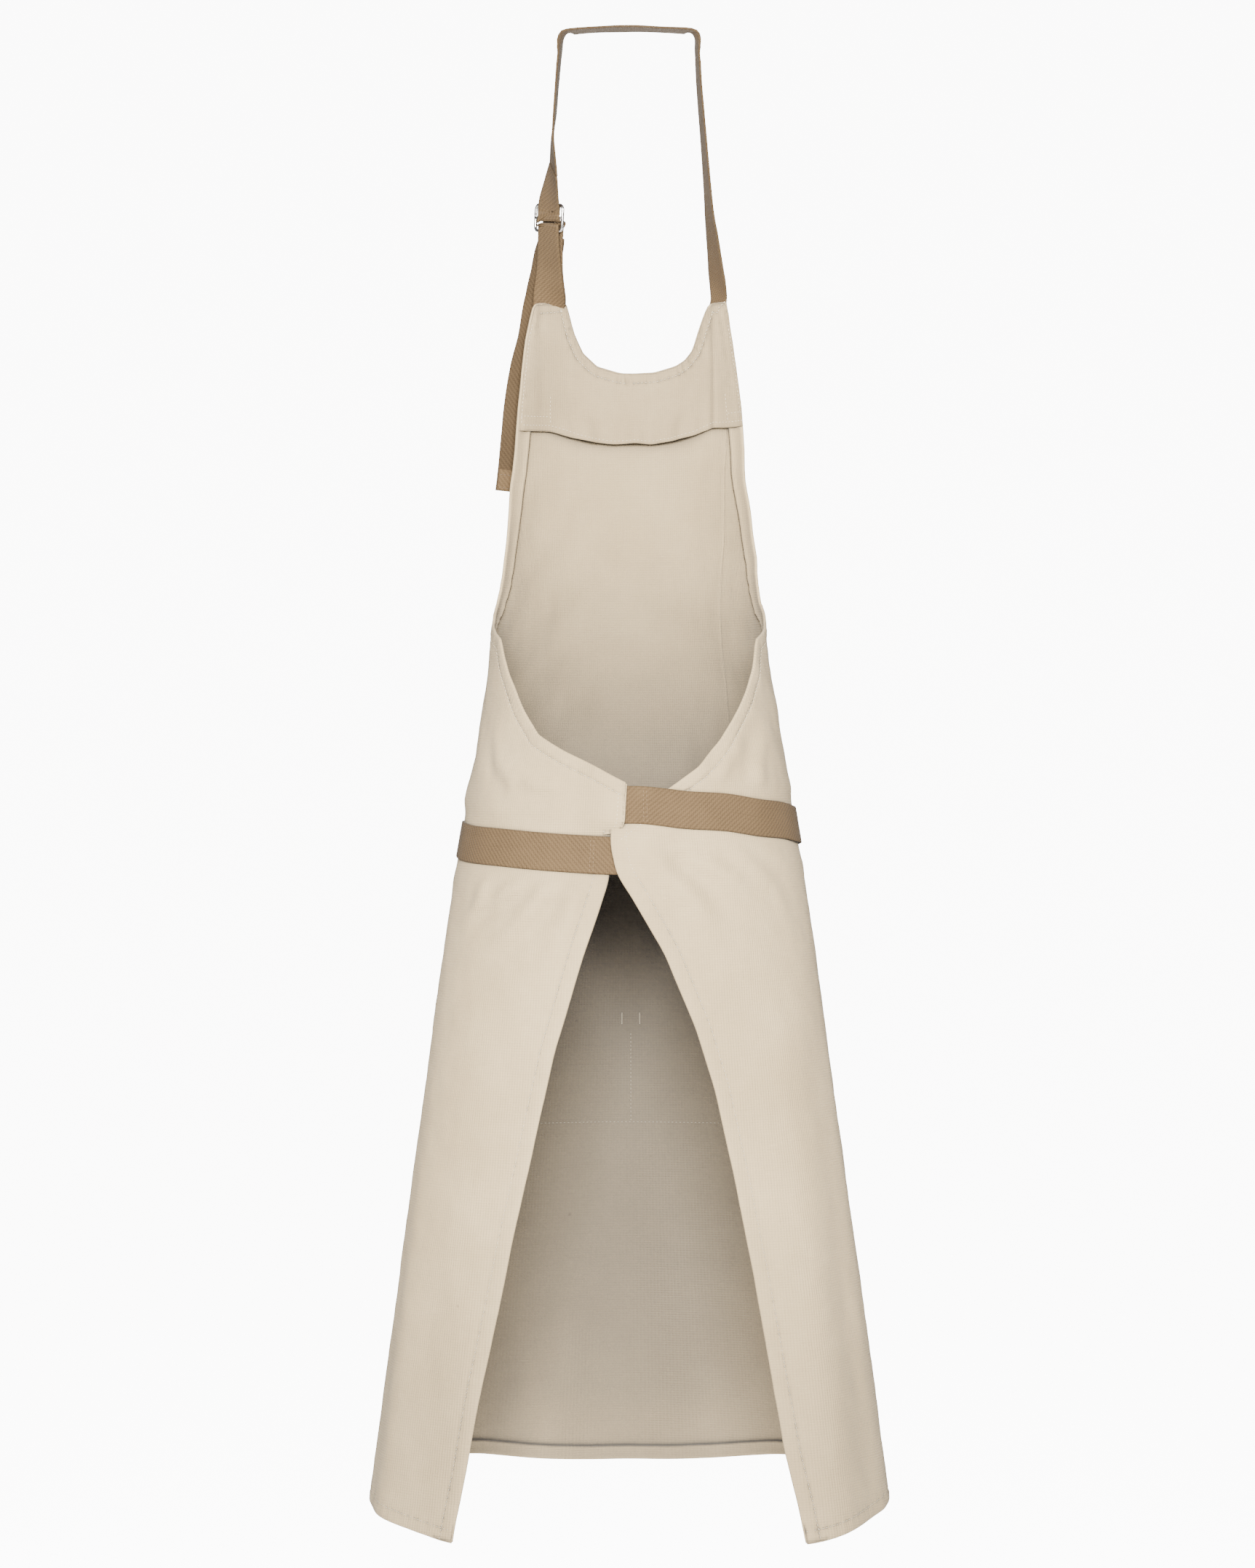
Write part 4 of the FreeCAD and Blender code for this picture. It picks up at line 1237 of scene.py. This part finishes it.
def make_tab():
    """Doubled webbing from the bib corner, round the slider's lower bar and back."""
    turn = WIRE_RADIUS + 0.3 + WEBBING_THICKNESS / 2
    low_out = unit(np.array([0.5, 0.75, 0.45]))
    top_across, top_up, top_out = slider_axes()
    layer = WEBBING_THICKNESS / 2 + 0.1
    corner = np.array([-66.8, 80, -203])
    lean = [
        (np.array([-66.5, 82, -228]), (-0.85, -0.5, 0.0), 0.0),
        (np.array([-66.8, 81.5, -210]), (-0.88, -0.42, 0.0), 0.0),
        (corner, (-0.95, -0.1, 0.0), 0.0),
    ]
    for share, across in ((0.25, (-0.88, 0.36, 0.2)), (0.5, (-0.76, 0.58, 0.25)), (0.8, (-0.66, 0.74, 0.15))):
        lean.append((corner + (SLIDER_HINGE - corner) * share, across, share))

    def station(place, across, share, sign):
        out = unit(low_out * (1 - share) + top_out * share)
        gap = layer + (turn - layer) * ease(share, 0.5, 1.0)
        return place + out * gap * sign, across

    rows = [station(*part, -1) for part in lean]
    for degrees in (-90, -60, -30, 0, 30, 60, 90):
        angle = math.radians(degrees)
        up = TAB_TOP - turn - WEBBING_THICKNESS / 2 + turn * math.cos(angle)
        rows.append((slider_point(0, up, turn * math.sin(angle)), top_across))
    rows += [station(*part, 1) for part in lean[::-1]]
    centres, acrosses = route(rows, 1.4)
    tab = webbing("tab_webbing", centres, acrosses, width=TAB_WIDTH)
    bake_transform(tab)
    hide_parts("buckle_tab", "neck_anchor_left")


TAIL_ROUTE = [
    ((-63.4, 49.4, -147), (-0.62, 0.78, 0.08)),
    ((-65.0, 56, -156), (-0.66, 0.74, 0.1)),
    ((-68.2, 64.5, -167), (-0.72, 0.68, 0.1)),
    ((-70.2, 75.5, -183), (-0.82, 0.55, 0)),
    ((-72.6, 86.0, -197), (-0.95, 0.2, 0)),
    ((-75.6, 89.3, -210), (-0.96, -0.2, 0)),
    ((-80.0, 87.5, -232), (-0.90, -0.42, 0.03)),
    ((-86.0, 84.5, -258), (-0.92, -0.34, 0.05)),
    ((-90.4, 82.5, -287), (-0.95, -0.28, 0.03)),
    ((-94.2, 81, -318), (-0.90, -0.44, 0.02)),
    ((-96.2, 80, -345), (-0.93, -0.34, 0.06)),
    ((-97.6, 79.5, -361), (-0.95, -0.20, 0.16)),
]


def make_tail():
    """The strap's spare end, which hangs from the slider, with its tip turned up and sewn."""
    centres, acrosses = route(TAIL_ROUTE)
    # the spare end uses the webbing with painted shade
    tail = webbing("strap_tail_webbing", centres, acrosses, surface=WEBBING_PAINTED_SHADE)
    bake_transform(tail)
    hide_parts("strap_tail")
    back = centres[-10:] + np.array([0.5, -1, 0]) * (WEBBING_THICKNESS + 0.1)
    fold = webbing("tail_end_turned_up", back, acrosses[-10:], width=29.4)
    stitches = Stitches()
    for row in (-8, -2):
        add_cross_line(stitches, back[row], acrosses[row], back[row + 1] - back[row - 1])
    thread = stitches.build("tail_end_stitches", BROWN_THREAD)
    for piece in (fold, thread):
        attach(piece, "neck_tail")
    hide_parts("tail_end_fold")


# ------------------------------------------------------------------ the tie at the front

KNOT = np.array([0, 111.5, -650])
LOOP_START = 8              # how far from the knot's middle a bow loop leaves it
LOOP_REACH = 84
# One bow loop as (share of its reach, depth, height), out along its back and home along its front.
BOW_LOOP = [(0, 0.5, 0), (0.12, -3.0, 0), (0.35, -4.5, -2), (0.65, -4.0, -8), (0.9, -1.5, -15),
            (1.0, 3.0, -19), (0.9, 7.5, -17), (0.65, 9.5, -10), (0.35, 9.0, -3), (0.12, 7.0, 0), (0, 5.0, 0)]
# One hanging end as (reach, depth, height, lean), from the knot down.
TIE_END = [(9, 3, -4, 0.0), (12, 4.5, -14, 0.05), (16.5, 4, -24, 0.1), (24, 4, -70, 0.15), (31, 5, -120, 0.1),
           (39, 4, -170, 0.14), (43.5, 5, -207, 0.12)]


def make_tie():
    """Bow: a wrapped knot, two loops and two hanging ends."""
    rows = []
    for degrees in np.linspace(-90, 270, 19):
        turn = math.radians(degrees)
        rows.append((KNOT + np.array([0, 7.5 * math.cos(turn), 13.5 * math.sin(turn)]), (1, 0, 0.12)))
    centres, acrosses = route(rows, 1.5)
    knot = webbing("knot_wrap", centres, acrosses, width=26)
    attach(knot, "apron")
    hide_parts("tie_knot")
    for side, name in SIDES:
        rows = []
        for share, depth, high in BOW_LOOP:
            place = KNOT + np.array([side * (LOOP_START + LOOP_REACH * share), depth, high])
            rows.append((place, (side * 0.22, 0, 1)))
        centres, acrosses = route(rows, 2.0)
        gather = np.clip((np.abs(centres[:, 0]) - LOOP_START) / 30, 0, 1)
        loop = webbing("bow_loop_webbing_" + name, centres, acrosses, width=20 + 10 * gather)
        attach(loop, "apron")
        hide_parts("bow_loop_" + name)
        rows = []
        for reach, depth, high, lean in TIE_END:
            place = KNOT + np.array([side * reach, depth, high])
            rows.append((place, (1, lean * side * -2, side * lean)))
        centres, acrosses = route(rows, 2.5)
        gather = np.clip((KNOT[2] - centres[:, 2] - 4) / 34, 0, 1)
        tail = webbing("tie_end_webbing_" + name, centres, acrosses, width=17 + 13 * gather)
        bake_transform(tail)
        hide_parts("tie_tail_" + name)


POCKET_TOP = 799            # drop of the pocket's mouth
POCKET_HEIGHT = 96
POCKET_REACH = 40           # degrees from the front centre to each of its sides
POCKET_GAP = 1.3            # from the skirt's middle to the pocket's, where they are sewn together
POCKET_GAPE = 2.6           # how much further the mouth stands open


def make_pocket():
    """Shallow patch pocket on the front, with a line of stitching across its mouth and a stitched divider."""
    columns = 90
    rows = 30
    share = np.linspace(-1, 1, columns)[:, None]
    down = np.linspace(0, 1, rows)[None, :]
    angle = share * POCKET_REACH + 0 * down
    drop = POCKET_TOP + POCKET_HEIGHT * down + 0 * share
    edge = np.minimum(1, (1 - np.abs(share)) * 9) * np.minimum(1, np.abs(share) * 12)
    gape = edge * (1 - down) ** 1.5 * (POCKET_GAPE + 0.8 * np.sin(share * 9 + 0.5))
    surface = cloth_surface(angle, drop, POCKET_GAP + gape)
    patch = Patch()
    patch.add_grid(surface, angle, drop)
    outward = cloth_normal(angle, drop)
    outer = surface + outward * 0.25
    inner = cloth_surface(angle, drop, -CANVAS_THICKNESS / 2 + 0.2)
    middle = columns // 2
    left, right, bottom = np.s_[2, 1:-1], np.s_[-3, 1:-1], np.s_[2:-2, -2]
    mouth, divider = np.s_[2:-2, 5], np.s_[middle, 5:-1]
    for line in (left, right, bottom, mouth, divider):
        root_stitches.add_line(outer[line], outward[line], STITCH_HEIGHT)
    for line in (left, right, bottom, divider):
        root_stitches.add_line(inner[line], -outward[line], STITCH_HEIGHT)
    for column in (middle - 3, middle + 3):
        tack = np.s_[column, :4]
        root_stitches.add_line(inner[tack], -outward[tack], 0.3, step=1.2, radius=0.7)
    pocket = patch.build("front_pocket_cloth", CANVAS, LINING_THICKNESS)
    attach(pocket, "apron")
    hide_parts("front_pocket")


# ------------------------------------------------------------------ studio


def studio_sheet(name, centre, across, along, glow):
    """Large flat white sheet, which may give out light of its own."""
    sheet_material = Graph(name).surface({
        "Base Color": (0.9, 0.9, 0.9, 1),
        "Roughness": 0.95,
        "Emission Color": (1, 1, 1, 1),
        "Emission Strength": glow,
    })
    centre, across, along = (np.array(part, float) / MM for part in (centre, across, along))
    vertices = [centre - across - along, centre + across - along, centre + across + along,
                centre - across + along]
    new_object(name, vertices, [(0, 1, 2, 3)], sheet_material, smooth=False)


def make_studio():
    """Pale floor below the object and a bright wall behind it."""
    floor_height = cad_low.z - 1.05
    floor_half_width = 6
    wall_depth = 4.7
    wall_half_width = 1.5
    wall_half_height = 1.9
    wall_glow = 9.5
    studio_sheet("studio_floor", (0, 0, floor_height), (floor_half_width, 0, 0), (0, wall_depth, 0), 0.0)
    wall_centre = (0, wall_depth, floor_height + wall_half_height)
    studio_sheet("studio_wall", wall_centre, (wall_half_width, 0, 0), (0, 0, wall_half_height), wall_glow)


def add_light(name, place, aim, size, power, colour):
    data = bpy.data.lights.new(name, "AREA")
    data.shape = "RECTANGLE"
    data.size, data.size_y = size
    data.energy = power
    data.color = colour
    lamp = bpy.data.objects.new(name, data)
    bpy.context.scene.collection.objects.link(lamp)
    lamp.location = place
    direction = Vector(aim) - Vector(place)
    lamp.rotation_euler = direction.to_track_quat("-Z", "Y").to_euler()


MIDDLE = (cad_low + cad_high) / 2
CAMERA_DISTANCE = 3.2       # the perspective that the size was worked out with


def make_lighting():
    """One large soft light above the camera, with a dim even surround."""
    world = bpy.data.worlds.new("studio_world")
    bpy.context.scene.world = world
    world.use_nodes = True
    background = world.node_tree.nodes["Background"]
    background.inputs["Color"].default_value = (1.0, 0.98, 0.95, 1)
    background.inputs["Strength"].default_value = 0.12
    warm_white = (1.0, 0.955, 0.89)
    add_light("key", (-0.05, -3.1, MIDDLE.z + 0.75), MIDDLE, (1.5, 0.7), 478, warm_white)


def make_camera():
    """Level camera at the apron's mid height, square on to the wearer's back."""
    data = bpy.data.cameras.new("camera")
    data.lens = 89.8
    data.sensor_width = 36
    camera = bpy.data.objects.new("camera", data)
    bpy.context.scene.collection.objects.link(camera)
    camera.location = (-0.0015, -CAMERA_DISTANCE, MIDDLE.z - 0.002)
    camera.rotation_euler = (math.radians(90), 0, 0)
    bpy.context.scene.camera = camera


make_body_cloth()
for flap_side, flap_name in SIDES:
    make_flap(flap_side, flap_name)
    make_waist_strap(flap_side, flap_name)
make_facing()
make_pocket()
make_neck_strap()
make_slider()
make_tab()
make_tail()
make_tie()
for stitches, thread_name, thread_used in ((root_stitches, "apron_stitches", THREAD),
                                           (webbing_stitches, "strap_bar_tacks", BROWN_THREAD)):
    thread = stitches.build(thread_name, thread_used)
    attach(thread, "apron")
make_studio()
make_lighting()
make_camera()
